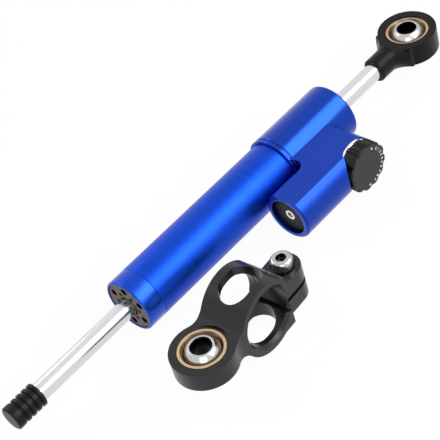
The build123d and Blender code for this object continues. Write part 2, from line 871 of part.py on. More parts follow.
# The two spherical bearings are the same size: a bronze race with a drilled steel ball in it
for label, place in (("rod_end", Vector(eye_x, 0, 0)), ("clamp", clamp_place)):
    bearing_plane = Plane(origin=place, x_dir=(0, 0, 1), z_dir=(0, 1, 0))
    bearing_axis = Axis(place, (0, 0, 1))
    cup_radius = ball_radius + rod_fit
    cup_half = race_width / 2 - race_mouth_depth
    cup_edge = sqrt(cup_radius**2 - cup_half**2)
    ball_edge = sqrt(ball_radius**2 - (ball_width / 2) ** 2)
    bore_edge = ball_bore_radius + ball_bore_chamfer
    bore_half = ball_width / 2 - ball_bore_chamfer
    with BuildPart() as race:
        with BuildSketch(bearing_plane):
            with BuildLine():
                ThreePointArc((-cup_half, cup_edge), (0, cup_radius), (cup_half, cup_edge))
                Polyline(
                    (cup_half, cup_edge),
                    (race_width / 2, race_mouth_radius),
                    (race_width / 2, race_radius),
                    (-race_width / 2, race_radius),
                    (-race_width / 2, race_mouth_radius),
                    (-cup_half, cup_edge),
                )
            make_face()
        revolve(axis=bearing_axis)
    finish(race, f"{label}_race")
    with BuildPart() as ball:
        with BuildSketch(bearing_plane):
            with BuildLine():
                ThreePointArc((-ball_width / 2, ball_edge), (0, ball_radius), (ball_width / 2, ball_edge))
                Polyline(
                    (ball_width / 2, ball_edge),
                    (ball_width / 2, bore_edge),
                    (bore_half, ball_bore_radius),
                    (-bore_half, ball_bore_radius),
                    (-ball_width / 2, bore_edge),
                    (-ball_width / 2, ball_edge),
                )
            make_face()
        revolve(axis=bearing_axis)
    finish(ball, f"{label}_ball")

# Plug of the side housing, with the bleed screw in its middle
plug_front_x = side_front_x + plug_setback
plug_back_x = plug_front_x + plug_thickness
stem_end_x = plug_back_x + plug_stem_length
plug_groove_x = (plug_back_x + stem_end_x) / 2
plug_stem_radius = compensator_bore_radius - fit
with BuildPart() as side_plug:
    revolve(
        outline(
            side_plane,
            [
                (plug_front_x + bleed_screw_head_height, bleed_screw_radius),
                (plug_front_x + bleed_screw_head_height, bleed_screw_head_radius + fit),
                (plug_front_x, bleed_screw_head_radius + fit),
                (plug_front_x, plug_radius - plug_chamfer),
                (plug_front_x + plug_chamfer, plug_radius),
                (plug_back_x, plug_radius),
                (plug_back_x, plug_stem_radius),
                (plug_groove_x - o_ring_radius - o_ring_side, plug_stem_radius),
                (plug_groove_x - o_ring_radius - o_ring_side, compensator_bore_radius - 2 * o_ring_radius),
                (plug_groove_x + o_ring_radius + o_ring_side, compensator_bore_radius - 2 * o_ring_radius),
                (plug_groove_x + o_ring_radius + o_ring_side, plug_stem_radius),
                (stem_end_x, plug_stem_radius),
                (stem_end_x, bleed_screw_radius),
            ],
        ),
        axis=side_axis,
    )
finish(side_plug, "side_plug")

with BuildPart() as side_plug_o_ring:
    revolve(
        o_ring_section(side_plane, plug_groove_x, compensator_bore_radius - o_ring_radius),
        axis=side_axis,
    )
finish(side_plug_o_ring, "side_plug_o_ring")

with BuildPart() as bleed_screw:
    bleed_seat_x = plug_front_x + bleed_screw_head_height
    revolve(
        outline(
            side_plane,
            [
                (plug_front_x, 0),
                (plug_front_x, bleed_screw_head_radius - fit),
                (bleed_seat_x, bleed_screw_head_radius - fit),
                (bleed_seat_x, bleed_screw_radius),
                (bleed_seat_x + bleed_screw_length, bleed_screw_radius),
                (bleed_seat_x + bleed_screw_length, 0),
            ],
        ),
        axis=side_axis,
    )
    with BuildSketch(Plane(origin=(plug_front_x, side_y, side_z), x_dir=(0, 1, 0), z_dir=(-1, 0, 0))):
        RegularPolygon(bleed_screw_socket_radius, 6)
    extrude(amount=-bleed_screw_socket_depth, mode=Mode.SUBTRACT)
finish(bleed_screw, "bleed_screw")

# Floating piston that takes up the change of the oil's volume, with its rubber ring and spring
compensator_end = compensator_end_x - compensator_fluid_space
compensator_start = compensator_end - compensator_piston_length
float_groove_x = (compensator_start + compensator_end) / 2
float_groove_radius = compensator_bore_radius - 2 * o_ring_radius - fit
float_radius = compensator_bore_radius - 2 * fit
spring_radius = compensator_bore_radius - spring_inset - spring_wire
with BuildPart() as compensator_piston:
    revolve(
        outline(
            side_plane,
            [
                (compensator_start + compensator_recess_depth, 0),
                (compensator_start + compensator_recess_depth, spring_radius - spring_wire),
                (compensator_start, spring_radius - spring_wire),
                (compensator_start, float_radius),
                (float_groove_x - o_ring_radius - o_ring_side, float_radius),
                (float_groove_x - o_ring_radius - o_ring_side, float_groove_radius),
                (float_groove_x + o_ring_radius + o_ring_side, float_groove_radius),
                (float_groove_x + o_ring_radius + o_ring_side, float_radius),
                (compensator_end, float_radius),
                (compensator_end, 0),
            ],
        ),
        axis=side_axis,
    )
finish(compensator_piston, "compensator_piston")

with BuildPart() as compensator_o_ring:
    revolve(
        o_ring_section(side_plane, float_groove_x, compensator_bore_radius - o_ring_radius - fit),
        axis=side_axis,
    )
finish(compensator_o_ring, "compensator_o_ring")

# The spring is one wire, wound on a steady helix between the plug and the floating piston
spring_length = compensator_start - stem_end_x - spring_wire - 2 * fit
spring_pitch = spring_length / spring_coils
with BuildPart() as compensator_spring:
    start_x = stem_end_x + spring_wire / 2 + fit
    with BuildLine() as coil:
        Helix(
            spring_pitch,
            spring_length,
            spring_radius,
            center=(start_x, side_y, side_z),
            direction=(1, 0, 0),
        )
    with BuildSketch(Plane(origin=coil.line @ 0, z_dir=coil.line % 0)):
        Circle(spring_wire / 2)
    sweep(path=coil.line)
finish(compensator_spring, "compensator_spring")
print("least gap between the spring's turns", round(spring_pitch - spring_wire, 3))

# Seat ring and housing of the adjuster, screwed into the side of the head
bonnet_end_y = valve_face_y + valve_depth - needle_seat_length
collar_y = valve_face_y + spindle_collar_inset
ring_y = valve_face_y - seat_ring_thickness
with BuildPart() as valve_bonnet:
    revolve(
        outline(
            valve_plane,
            [
                (ring_y, spindle_radius + fit),
                (ring_y, seat_ring_radius - seat_ring_chamfer),
                (ring_y + seat_ring_chamfer, seat_ring_radius),
                (valve_face_y, seat_ring_radius),
                (valve_face_y, valve_radius),
                (bonnet_end_y, valve_radius),
                (bonnet_end_y, spindle_collar_radius + fit),
                (collar_y, spindle_collar_radius + fit),
                (collar_y, spindle_radius + fit),
            ],
        ),
        axis=valve_axis,
    )
finish(valve_bonnet, "valve_bonnet")

# The spindle turns in the bonnet, with a collar that stops it and a tapped hole for the needle
spindle_start_y = knob_back_y - knob_boss_depth
spindle_end_y = collar_y + fit + spindle_collar_length
with BuildPart() as adjuster_spindle:
    revolve(
        outline(
            valve_plane,
            [
                (spindle_start_y, 0),
                (spindle_start_y, spindle_radius),
                (collar_y + fit, spindle_radius),
                (collar_y + fit, spindle_collar_radius),
                (spindle_end_y, spindle_collar_radius),
                (spindle_end_y, needle_radius + fit),
                (valve_face_y, needle_radius + fit),
                (valve_face_y, 0),
            ],
        ),
        axis=valve_axis,
    )
finish(adjuster_spindle, "adjuster_spindle")

# The needle moves in and out on its thread, and its square keeps it from turning
square_start_y = bonnet_end_y + needle_travel
tip_start_y = square_start_y + needle_key_length
needle_start_y = valve_face_y + 2 * needle_travel
port_start_y = valve_end_y - needle_port_length
seat_square = needle_key_width + 2 * fit
with BuildPart() as metering_needle:
    revolve(
        outline(
            valve_plane,
            [
                (needle_start_y, 0),
                (needle_start_y, needle_radius),
                (tip_start_y, needle_radius),
                (tip_start_y + needle_tip_length, needle_tip_radius),
                (tip_start_y + needle_tip_length, 0),
            ],
        ),
        axis=valve_axis,
    )
    with BuildSketch(Plane(origin=(valve_x, square_start_y, side_z), x_dir=(1, 0, 0), z_dir=(0, 1, 0))):
        Rectangle(needle_key_width, needle_key_width)
    extrude(amount=needle_key_length)
finish(metering_needle, "metering_needle")

with BuildPart() as needle_seat:
    with BuildSketch(Plane(origin=(valve_x, bonnet_end_y, side_z), x_dir=(1, 0, 0), z_dir=(0, 1, 0))):
        Circle(valve_radius)
        Rectangle(seat_square, seat_square, mode=Mode.SUBTRACT)
    extrude(amount=needle_seat_length - needle_port_length)
    with BuildSketch(Plane(origin=(valve_x, port_start_y, side_z), x_dir=(1, 0, 0), z_dir=(0, 1, 0))):
        Circle(valve_radius)
        Circle(needle_port_radius, mode=Mode.SUBTRACT)
    extrude(amount=needle_port_length)
finish(needle_seat, "needle_seat")

# The knob has shallow scallops all round, which run the whole of its height
with BuildPart() as adjuster_knob:
    revolve(
        outline(
            valve_plane,
            [
                (knob_face_y, 0),
                (knob_face_y, knob_radius - knob_chamfer),
                (knob_face_y + knob_chamfer, knob_radius),
                (knob_back_y, knob_radius),
                (knob_back_y, spindle_radius),
                (spindle_start_y, spindle_radius),
                (spindle_start_y, 0),
            ],
        ),
        axis=valve_axis,
    )
    with BuildSketch(Plane(origin=(valve_x, knob_face_y, side_z), x_dir=(1, 0, 0), z_dir=(0, 1, 0))):
        with PolarLocations(knob_radius + knob_scallop_radius - knob_scallop_depth, knob_scallops):
            Circle(knob_scallop_radius)
    extrude(amount=knob_thickness, mode=Mode.SUBTRACT)
finish(adjuster_knob, "adjuster_knob")
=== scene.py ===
"""A linear steering damper for a motorcycle and its loose body clamp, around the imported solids.

Everything is in metres in the frame of the solids: the origin is on the tube's axis, +X runs
along the rod towards the rod end, the side housing is towards -Y, and +Z is up from the floor.
Only the profiles of turned pieces are in millimetres.
"""
from math import atan2, cos, pi, radians, sin, sqrt

import bmesh
import bpy
from bpy.props import FloatProperty, FloatVectorProperty, IntProperty, PointerProperty
from mathutils import Matrix, Vector


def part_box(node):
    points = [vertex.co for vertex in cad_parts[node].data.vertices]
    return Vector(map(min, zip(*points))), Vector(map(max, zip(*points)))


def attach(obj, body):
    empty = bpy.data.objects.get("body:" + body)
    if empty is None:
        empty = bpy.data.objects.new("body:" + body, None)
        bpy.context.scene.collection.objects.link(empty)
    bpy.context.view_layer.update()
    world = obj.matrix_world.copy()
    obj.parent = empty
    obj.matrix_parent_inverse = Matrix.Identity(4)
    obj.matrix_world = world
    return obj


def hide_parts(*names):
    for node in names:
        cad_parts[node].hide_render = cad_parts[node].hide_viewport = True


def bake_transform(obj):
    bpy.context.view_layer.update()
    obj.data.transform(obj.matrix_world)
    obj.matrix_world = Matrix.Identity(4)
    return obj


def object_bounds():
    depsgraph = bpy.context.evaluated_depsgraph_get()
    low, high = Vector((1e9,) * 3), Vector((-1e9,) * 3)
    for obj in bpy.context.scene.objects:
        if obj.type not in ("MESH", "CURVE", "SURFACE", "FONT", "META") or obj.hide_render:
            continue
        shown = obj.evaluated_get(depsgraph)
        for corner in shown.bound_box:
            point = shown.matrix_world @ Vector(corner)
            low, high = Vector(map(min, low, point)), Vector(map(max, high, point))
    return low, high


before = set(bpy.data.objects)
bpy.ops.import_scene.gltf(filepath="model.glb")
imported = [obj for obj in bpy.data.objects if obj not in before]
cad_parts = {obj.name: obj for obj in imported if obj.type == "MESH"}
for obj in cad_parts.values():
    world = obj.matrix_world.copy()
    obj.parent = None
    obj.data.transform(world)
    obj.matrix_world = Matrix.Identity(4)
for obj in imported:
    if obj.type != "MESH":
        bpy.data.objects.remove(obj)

bl_info = {
    "name": "Steering damper",
    "version": (1, 0, 0),
    "blender": (4, 5, 0),
    "location": "View3D > Sidebar > Damper",
    "description": "Dresses a motorcycle's steering damper, piece by piece",
    "category": "Object",
}

CAD_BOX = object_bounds()
MM = 0.001

# Where things are, read from the solids
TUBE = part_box("main_tube")
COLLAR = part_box("front_collar")
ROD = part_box("piston_rod")
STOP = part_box("end_stop")
EYE_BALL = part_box("rod_end_ball")
CLAMP_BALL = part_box("clamp_ball")
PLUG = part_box("side_plug")
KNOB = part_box("adjuster_knob")
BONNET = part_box("valve_bonnet")
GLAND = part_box("front_gland")

# Facets in a rounded corner of a profile, and the share of a side that it may take
ROUND_STEPS = 4
ROUND_REACH = 0.4
ON_AXIS = 1e-9
# Corners of a solid closer than this, and faces with less than this angle, become one
SOLID_MERGE = 2e-6
SOLID_FLAT = 0.3
# Edges sharper than these angles stay sharp
TURNED_ANGLE = 32
EASED_ANGLE = 38
SCALLOPED_ANGLE = 40
# The scale on the knob, with angles in degrees
PRINT_RADIUS = 8.5 * MM
NUMBER_START = 44
NUMBER_STEP = 13.2
DOT_ANGLES = (64, -97.5)
DOT_RADIUS = 0.42
# The camera that fits the photo: width and focal length in pixels, and a full frame sensor
PHOTO_WIDTH = 440
PHOTO_FOCUS = 1516.3
SENSOR_WIDTH = 36
LAMP_AIM = (0.03, -0.02, 0.0)
FLOOR_REACH = 3
# The share of the floor that is plain white, so that the rest keeps the shadow
FLOOR_WHITE = 0.95
WHITE = (1, 1, 1, 1)
# Painted shade in the front gland's holes and bore
HOLE_SHADE_BLACK = (0.004, 0.004, 0.004, 1)


def middle(box):
    """The middle of a box."""
    return (Vector(box[0]) + Vector(box[1])) / 2


# The axes of the side housing and of the knob, and how marks run round them
SIDE_AXIS = (0.0, middle(PLUG).y, middle(PLUG).z)
KNOB_AXIS = (middle(KNOB).x, 0.0, middle(KNOB).z)
ROUND_SIDE = {"centre": SIDE_AXIS, "plane": ("Y", "Z")}
ROUND_KNOB = {"centre": KNOB_AXIS, "plane": ("X", "Z")}


# Sizes and colours that a user would change


def length(name, description, default):
    """A setting that is a length in metres."""
    return FloatProperty(
        name=name, description=description, default=default, subtype="DISTANCE", unit="LENGTH"
    )


def whole(name, description, default):
    """A setting that is a whole number."""
    return IntProperty(name=name, description=description, default=default)


def paint(name, description, default):
    """A setting that is a colour."""
    return FloatVectorProperty(
        name=name, description=description, default=default, subtype="COLOR", size=4
    )


class DamperSizes(bpy.types.PropertyGroup):
    """Sizes of the damper's details."""

    edge: length("Edge", "Rounding of machined edges", 0.00025)
    turned_steps: whole("Turned steps", "Facets round the tube and its collar", 192)
    ring_pitch: length("Ring pitch", "Spacing of the turning marks on the tube", 0.00105)
    stop_ribs: whole("Stop ribs", "Ribs of the rubber stop behind its cap", 4)
    stop_pitch: length("Rib pitch", "Spacing of the stop's ribs", 0.002725)
    stop_rib_width: length("Rib width", "Width of one rib", 0.001635)
    knob_scallops: whole("Scallops", "Finger hollows round the knob", 12)
    knob_scallop_radius: length("Scallop radius", "Radius of one hollow", 0.0032)
    knob_scallop_depth: length("Scallop depth", "Depth of one hollow", 0.0007)
    knob_numbers: whole("Numbers", "Numbers on the knob's face, from 0 up", 10)
    knob_number_height: length("Number height", "Height of a printed number", 0.0019)
    print_thickness: length("Print", "Thickness of the printed marks", 0.00004)
    plug_radius: length("Plug radius", "Radius of the side plug's face", 0.0084)
    plug_setback: length("Plug setback", "Depth of the plug in its mouth", 0.0016)
    flat_level: length("Flat level", "Height of the head's flat", 0.0084)
    gland_holes: whole("Gland holes", "Holes in each ring of the gland's face", 6)


class DamperColours(bpy.types.PropertyGroup):
    """Colours of the damper's finishes."""

    blue: paint("Blue", "Blue anodised metal", (0.003, 0.05, 0.45, 1))
    black: paint("Black", "Black anodised metal", (0.02, 0.02, 0.021, 1))
    bronze: paint("Bronze", "Bearing bronze", (0.62, 0.43, 0.26, 1))
    brass: paint("Brass", "Brass of the valve seat", (0.72, 0.5, 0.2, 1))
    chrome: paint("Chrome", "Hard chrome of rod and balls", (0.7, 0.7, 0.71, 1))
    steel: paint("Steel", "Stainless steel of the screws", (0.5, 0.49, 0.48, 1))
    aluminium: paint("Aluminium", "Bare turned aluminium", (0.85, 0.86, 0.88, 1))
    rubber: paint("Rubber", "Rubber of stop and seals", (0.006, 0.006, 0.006, 1))
    plastic: paint("Plastic", "Piston ring's plastic", (0.3, 0.2, 0.12, 1))
    marks: paint("Marks", "Print on the knob", (0.85, 0.85, 0.84, 1))
    gland_face: paint("Gland face", "Front gland's drilled face", (0.13, 0.11, 0.09, 1))


# Node work shared by the finishes and the patterns


class Number:
    """A number socket that takes part in sums."""

    def __init__(self, maker, socket):
        self.maker = maker
        self.socket = socket

    def __add__(self, other):
        return self.maker.math("ADD", self, other)

    def __sub__(self, other):
        return self.maker.math("SUBTRACT", self, other)

    def __rsub__(self, other):
        return self.maker.math("SUBTRACT", other, self)

    def __mul__(self, other):
        return self.maker.math("MULTIPLY", self, other)

    def __truediv__(self, other):
        return self.maker.math("DIVIDE", self, other)

    def __rtruediv__(self, other):
        return self.maker.math("DIVIDE", other, self)

    def __pow__(self, other):
        return self.maker.math("POWER", self, other)


class NodeMaker:
    """Makes the nodes of one tree."""

    def __init__(self, tree):
        self.tree = tree

    def node(self, kind, sockets, output=0, **settings):
        """Makes a node, sets it up, feeds its sockets, and returns one of its outputs."""
        made = self.tree.nodes.new(kind)
        for key, value in settings.items():
            setattr(made, key, value)
        for key, value in sockets.items():
            self.feed(made.inputs[key], value)
        return Number(self, made.outputs[output])

    def feed(self, socket, value):
        """Links a socket, or gives it a value."""
        if isinstance(value, Number):
            self.tree.links.new(value.socket, socket)
        else:
            socket.default_value = value

    def math(self, operation, *values):
        """A math node with one or more values."""
        return self.node("ShaderNodeMath", dict(enumerate(values)), operation=operation)


class Finish(NodeMaker):
    """A material whose pattern is worked out from the piece's own coordinates, in metres."""

    def __init__(self, name, centre=(0, 0, 0)):
        self.material = bpy.data.materials.new(name)
        self.material.use_nodes = True
        super().__init__(self.material.node_tree)
        self.shader = self.tree.nodes["Principled BSDF"]
        place = self.node("ShaderNodeTexCoord", {}, "Object")
        shift = tuple(-value for value in centre)
        self.place = self.node("ShaderNodeMapping", {"Vector": place, "Location": shift})

    def part(self, axis):
        """One coordinate of the place."""
        return self.node("ShaderNodeSeparateXYZ", {0: self.place}, axis)

    def radius(self, first, second):
        """The distance from the centre in the plane of two axes."""
        return self.math("SQRT", self.part(first) ** 2.0 + self.part(second) ** 2.0)

    def noise(self, size, detail=3.0, stretch=(1, 1, 1)):
        """Soft noise with features of one size, stretched along an axis."""
        scale = tuple(1 / value for value in stretch)
        vector = self.node("ShaderNodeMapping", {"Vector": self.place, "Scale": scale})
        sockets = {"Vector": vector, "Scale": 1 / size, "Detail": detail, "Roughness": 0.6}
        return self.node("ShaderNodeTexNoise", sockets)

    def repeated(self, place, pitch, spread, regular):
        """Marks along a line of places: a share of them regular, the rest noise."""
        wave = self.math("SINE", place * (2 * pi / pitch)) * 0.5 + 0.5
        sockets = {"W": place, "Scale": spread / pitch, "Detail": 2.0}
        uneven = self.node("ShaderNodeTexNoise", sockets, noise_dimensions="1D")
        return wave * regular + uneven * (1 - regular)

    def rings_along(self, axis, pitch):
        """Marks that repeat along an axis, uneven from one to the next."""
        return self.repeated(self.part(axis), pitch, spread=0.45, regular=0.55)

    def rings_about(self, first, second, pitch):
        """Marks in circles about the centre."""
        return self.repeated(self.radius(first, second), pitch, spread=0.8, regular=0.4)

    def between(self, factor, first, second):
        """A colour between two colours."""
        sockets = {0: factor, 6: first, 7: second}
        return self.node("ShaderNodeMix", sockets, 2, data_type="RGBA")

    def shades(self, factor, colour, dark, pale):
        """A colour that varies between a darker and a paler shade of one colour."""
        return self.between(factor, shade(colour, dark), shade(colour, pale))

    def wear(self, factor, low, high):
        """A number between two numbers, from a factor."""
        return factor * (high - low) + low

    def finish(self, colour, roughness, height, depth, strength, **constants):
        """Feeds the shader: what varies by links, what doesn't on its own sockets."""
        self.feed(self.shader.inputs["Base Color"], colour)
        self.feed(self.shader.inputs["Roughness"], roughness)
        sockets = {"Height": height, "Distance": depth, "Strength": strength}
        self.feed(self.shader.inputs["Normal"], self.node("ShaderNodeBump", sockets))
        for key, value in constants.items():
            self.shader.inputs[key.replace("_", " ")].default_value = value
        return self.material


def shade(colour, factor):
    """A colour made darker or lighter."""
    return tuple(min(value * factor, 1.0) for value in colour[:3]) + (1.0,)


def turned_blue(name, colour, pitch):
    """Blue anodised tube with the rings of its turning left in it."""
    made = Finish(name)
    rings = made.rings_along("X", pitch)
    waves = made.noise(size=0.014, detail=2.0, stretch=(0.5, 1, 1))
    grain = made.noise(size=0.0007, stretch=(0.08, 2, 2))
    tint = made.shades(rings * 0.6 + waves * 0.2 + grain * 0.2, colour, dark=0.7, pale=1.55)
    height = rings * 0.85 + grain * 0.15
    rough = made.wear(grain * 0.5 + rings * 0.5, low=0.34, high=0.46)
    coat = {"Coat_Weight": 0.12, "Coat_Roughness": 0.35}
    return made.finish(tint, rough, height, depth=2e-5, strength=0.5, Metallic=1.0, **coat)


def plain_blue(name, colour, roughness, turned_from=None):
    """Blue anodised metal that was milled, and is smoother past the place where it was turned."""
    made = Finish(name)
    grain = made.noise(size=0.0004, detail=4.0, stretch=(0.3, 1, 1))
    cloud = made.noise(size=0.012, detail=2.0)
    tint = made.shades(cloud * 0.6 + grain * 0.4, colour, dark=0.85, pale=1.12)
    rough = made.wear(grain * 0.6 + cloud * 0.4, low=roughness * 0.85, high=roughness * 1.2)
    if turned_from is not None:
        rough = rough * (1.0 - made.math("GREATER_THAN", made.part("Y"), turned_from) * 0.5)
    coat = {"Coat_Weight": 0.26, "Coat_Roughness": 0.3}
    return made.finish(tint, rough, grain, depth=4e-6, strength=0.35, Metallic=1.0, **coat)


def satin_black(
    name, colour, roughness, centre=None, plane=("X", "Y"), pitch=0.0004, gloss=0.5, face=0.0
):
    """Black anodised metal, bead blasted or turned about a centre, with painted shade beyond the
    radius of its face.
    """
    made = Finish(name, centre or (0, 0, 0))
    grain = made.noise(size=0.00022, detail=4.0)
    cloud = made.noise(size=0.007, detail=2.0)
    mottle = cloud * 0.5 + grain * 0.5
    tint = made.shades(mottle, colour, dark=0.72, pale=1.35)
    rough = made.wear(mottle, low=roughness * 0.85, high=roughness * 1.2)
    height = grain
    if centre:
        height = grain * 0.5 + made.rings_about(*plane, pitch) * 0.5
    if face:
        # Painted shade: past the face's radius the colour is darkened, for sides that get less
        # light
        painted_shade_side = made.math("GREATER_THAN", made.radius(*plane), face)
        tint = made.between(painted_shade_side, tint, shade(colour, 0.15))
    look = {"Metallic": 0.3, "Specular_IOR_Level": gloss}
    return made.finish(tint, rough, height, depth=1e-5, strength=0.4, **look)


def bright_metal(
    name,
    colour,
    roughness,
    centre=(0, 0, 0),
    plane=("Y", "Z"),
    pitch=0.0002,
    depth=2e-6,
    inside=0.0,
    dark=None,
):
    """Polished or turned metal with fine marks in circles, and, where a dark colour is given,
    painted shade in it inside a radius.
    """
    made = Finish(name, centre)
    rings = made.rings_about(*plane, pitch)
    cloud = made.noise(size=0.005)
    tint = made.shades(cloud, colour, dark=0.94, pale=1.05)
    # Painted shade inside a hole, cup or socket, in the darker colour
    if dark:
        tint = made.between(made.math("LESS_THAN", made.radius(*plane), inside), tint, dark)
    rough = made.wear(cloud * 0.6 + rings * 0.4, low=roughness * 0.8, high=roughness * 1.25)
    return made.finish(tint, rough, rings, depth, strength=0.4, Metallic=1.0)


def ground_rod(name, colour):
    """Hard chromed rod with the marks of its grinding round it."""
    made = Finish(name)
    fine = made.rings_along("X", 0.00022)
    cloud = made.noise(size=0.009, stretch=(3, 1, 1))
    tint = made.shades(cloud, colour, dark=0.95, pale=1.04)
    rough = made.wear(fine * 0.5 + cloud * 0.5, low=0.16, high=0.22)
    return made.finish(tint, rough, fine, depth=3e-7, strength=0.2, Metallic=1.0)


def soft_rubber(name, colour):
    """Moulded black rubber with a dull bloom."""
    made = Finish(name)
    grain = made.noise(size=0.00018, detail=5.0)
    cloud = made.noise(size=0.003)
    tint = made.shades(cloud, colour, dark=0.7, pale=1.6)
    rough = made.wear(cloud * 0.5 + grain * 0.5, low=0.24, high=0.36)
    return made.finish(tint, rough, grain, depth=8e-6, strength=0.3, Specular_IOR_Level=0.14)


def hard_plastic(name, colour):
    """Filled bearing plastic or a matt print."""
    made = Finish(name)
    grain = made.noise(size=0.00015, detail=4.0)
    tint = made.shades(grain, colour, dark=0.85, pale=1.08)
    return made.finish(tint, made.wear(grain, low=0.4, high=0.6), grain, depth=6e-6, strength=0.4)


def drilled_metal(name, colour, face, edge):
    """Turned metal with painted black shade behind its face, inside the radius of its edge."""
    made = Finish(name)
    grain = made.noise(size=0.0003)
    rings = made.rings_about("Y", "Z", 0.0004)
    tint = made.shades(grain * 0.5 + rings * 0.5, colour, dark=0.8, pale=1.2)
    behind = made.math("GREATER_THAN", made.part("X"), face)
    inside = made.math("LESS_THAN", made.radius("Y", "Z"), edge)
    # Painted shade: the holes and bore behind the face, inside the edge, are black
    tint = made.between(behind * inside, tint, HOLE_SHADE_BLACK)
    rough = made.wear(grain, low=0.42, high=0.55)
    look = {"Metallic": 0.3, "Specular_IOR_Level": 0.12}
    return made.finish(tint, rough, rings, depth=4e-6, strength=0.3, **look)


class Pattern(NodeMaker):
    """A tree of geometry nodes with named inputs, which a piece is put through."""

    def __init__(self, name, numbers, **others):
        tree = bpy.data.node_groups.new(name, "GeometryNodeTree")
        super().__init__(tree)
        inputs = {"Geometry": "Geometry"} | {label: "Float" for label in numbers} | others
        for label, kind in inputs.items():
            tree.interface.new_socket(label, in_out="INPUT", socket_type=f"NodeSocket{kind}")
        tree.interface.new_socket("Geometry", in_out="OUTPUT", socket_type="NodeSocketGeometry")
        self.source = tree.nodes.new("NodeGroupInput")
        self.result = tree.nodes.new("NodeGroupOutput")

    def given(self, label):
        """One of the tree's inputs."""
        return Number(self, self.source.outputs[label])

    def on_circle(self, angle, radius):
        """How far sideways and up a place on a circle is."""
        return (self.math(operation, angle) * radius for operation in ("COSINE", "SINE"))

    def copies(self, places, shape, **sockets):
        """A shape at each of the places."""
        sockets |= {"Points": places, "Instance": shape}
        return self.node("GeometryNodeInstanceOnPoints", sockets)

    def end(self, geometry, material):
        """Realizes the instances and gives them their material."""
        real = self.node("GeometryNodeRealizeInstances", {0: geometry})
        dressed = self.node("GeometryNodeSetMaterial", {"Geometry": real, "Material": material})
        self.feed(self.result.inputs[0], dressed)

    def run(self, piece, values):
        """Puts a piece through the tree and leaves it a plain mesh."""
        modifier = piece.modifiers.new(self.tree.name, "NODES")
        modifier.node_group = self.tree
        for item in self.tree.interface.items_tree:
            if item.in_out == "INPUT" and item.name in values:
                modifier[item.identifier] = values[item.name]
        flatten(piece)


# Mesh work shared by the pieces


def flat_mesh(piece):
    """A new mesh of a piece as it looks, with its modifiers or its text worked out."""
    state = bpy.context.evaluated_depsgraph_get()
    return bpy.data.meshes.new_from_object(piece.evaluated_get(state), depsgraph=state)


def flatten(piece):
    """Turns a piece with its modifiers into a plain mesh."""
    mesh = flat_mesh(piece)
    piece.modifiers.clear()
    old = piece.data
    piece.data = mesh
    bpy.data.meshes.remove(old)
    mesh.name = piece.name


def modify(piece, kind, **settings):
    """Puts a piece through a modifier and leaves it a plain mesh."""
    modifier = piece.modifiers.new(kind, kind)
    for key, value in settings.items():
        setattr(modifier, key, value)
    flatten(piece)


def new_piece(name, data):
    """Puts a mesh, a text, a lamp or a camera in the scene at the origin."""
    piece = bpy.data.objects.new(name, data)
    bpy.context.scene.collection.objects.link(piece)
    return piece


def rounded(profile, radius):
    """A closed outline with its corners rounded, apart from the points on the axis."""
    points = []
    count = len(profile)
    for index, corner in enumerate(profile):
        corner = Vector(corner)
        before = Vector(profile[index - 1]) - corner
        after = Vector(profile[(index + 1) % count]) - corner
        reach = min(radius, ROUND_REACH * before.length, ROUND_REACH * after.length)
        if radius == 0 or corner.y < ON_AXIS:
            points.append(corner)
            continue
        start = corner + before.normalized() * reach
        end = corner + after.normalized() * reach
        for step in range(ROUND_STEPS + 1):
            share = step / ROUND_STEPS
            points.append(start.lerp(corner, share).lerp(corner.lerp(end, share), share))
    return points


def turned_mesh(name, base, axis, outline, steps):
    """Turns an outline of (along, radius) points about an axis through a base point."""
    base = Vector(base)
    mesh = bmesh.new()
    rows = []
    for step in range(steps):
        angle = 2 * pi * step / steps
        row = []
        for along, radius in outline:
            side, up = radius * cos(angle), radius * sin(angle)
            place = {"X": (along, side, up), "Y": (side, along, up), "Z": (side, up, along)}[axis]
            row.append(mesh.verts.new(base + Vector(place)))
        rows.append(row)
    for step in range(steps):
        here, there = rows[step], rows[(step + 1) % steps]
        for index in range(len(outline)):
            after = (index + 1) % len(outline)
            if outline[index][1] < ON_AXIS and outline[after][1] < ON_AXIS:
                continue
            mesh.faces.new((here[index], here[after], there[after], there[index]))
    return tidy_mesh(name, mesh)


def tidy_mesh(name, mesh, merge=1e-7, flat=0.0):
    """Closes seams and poles, turns the faces outwards and shades them smooth."""
    bmesh.ops.remove_doubles(mesh, verts=mesh.verts, dist=merge)
    bmesh.ops.dissolve_degenerate(mesh, edges=mesh.edges, dist=merge)
    if flat:
        limit = radians(flat)
        bmesh.ops.dissolve_limit(mesh, angle_limit=limit, verts=mesh.verts, edges=mesh.edges)
    bmesh.ops.recalc_face_normals(mesh, faces=mesh.faces)
    data = bpy.data.meshes.new(name)
    mesh.to_mesh(data)
    mesh.free()
    smooth(data, TURNED_ANGLE)
    return data


def smooth(data, angle):
    """Shades a mesh smooth, with its sharp edges kept."""
    for face in data.polygons:
        face.use_smooth = True
    data.set_sharp_from_angle(angle=radians(angle))


def turned(name, axis, profile, edge, steps, base=(0, 0, 0)):
    """A turned piece with rounded edges, from a profile in millimetres."""
    outline = [(x * MM, r * MM) for x, r in profile]
    return new_piece(name, turned_mesh(name, base, axis, rounded(outline, edge), steps))


def solid_copy(name, node, flat=0.0):
    """A copy of a solid."""
    mesh = bmesh.new()
    mesh.from_mesh(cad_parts[node].data)
    return new_piece(name, tidy_mesh(name, mesh, merge=SOLID_MERGE, flat=flat))


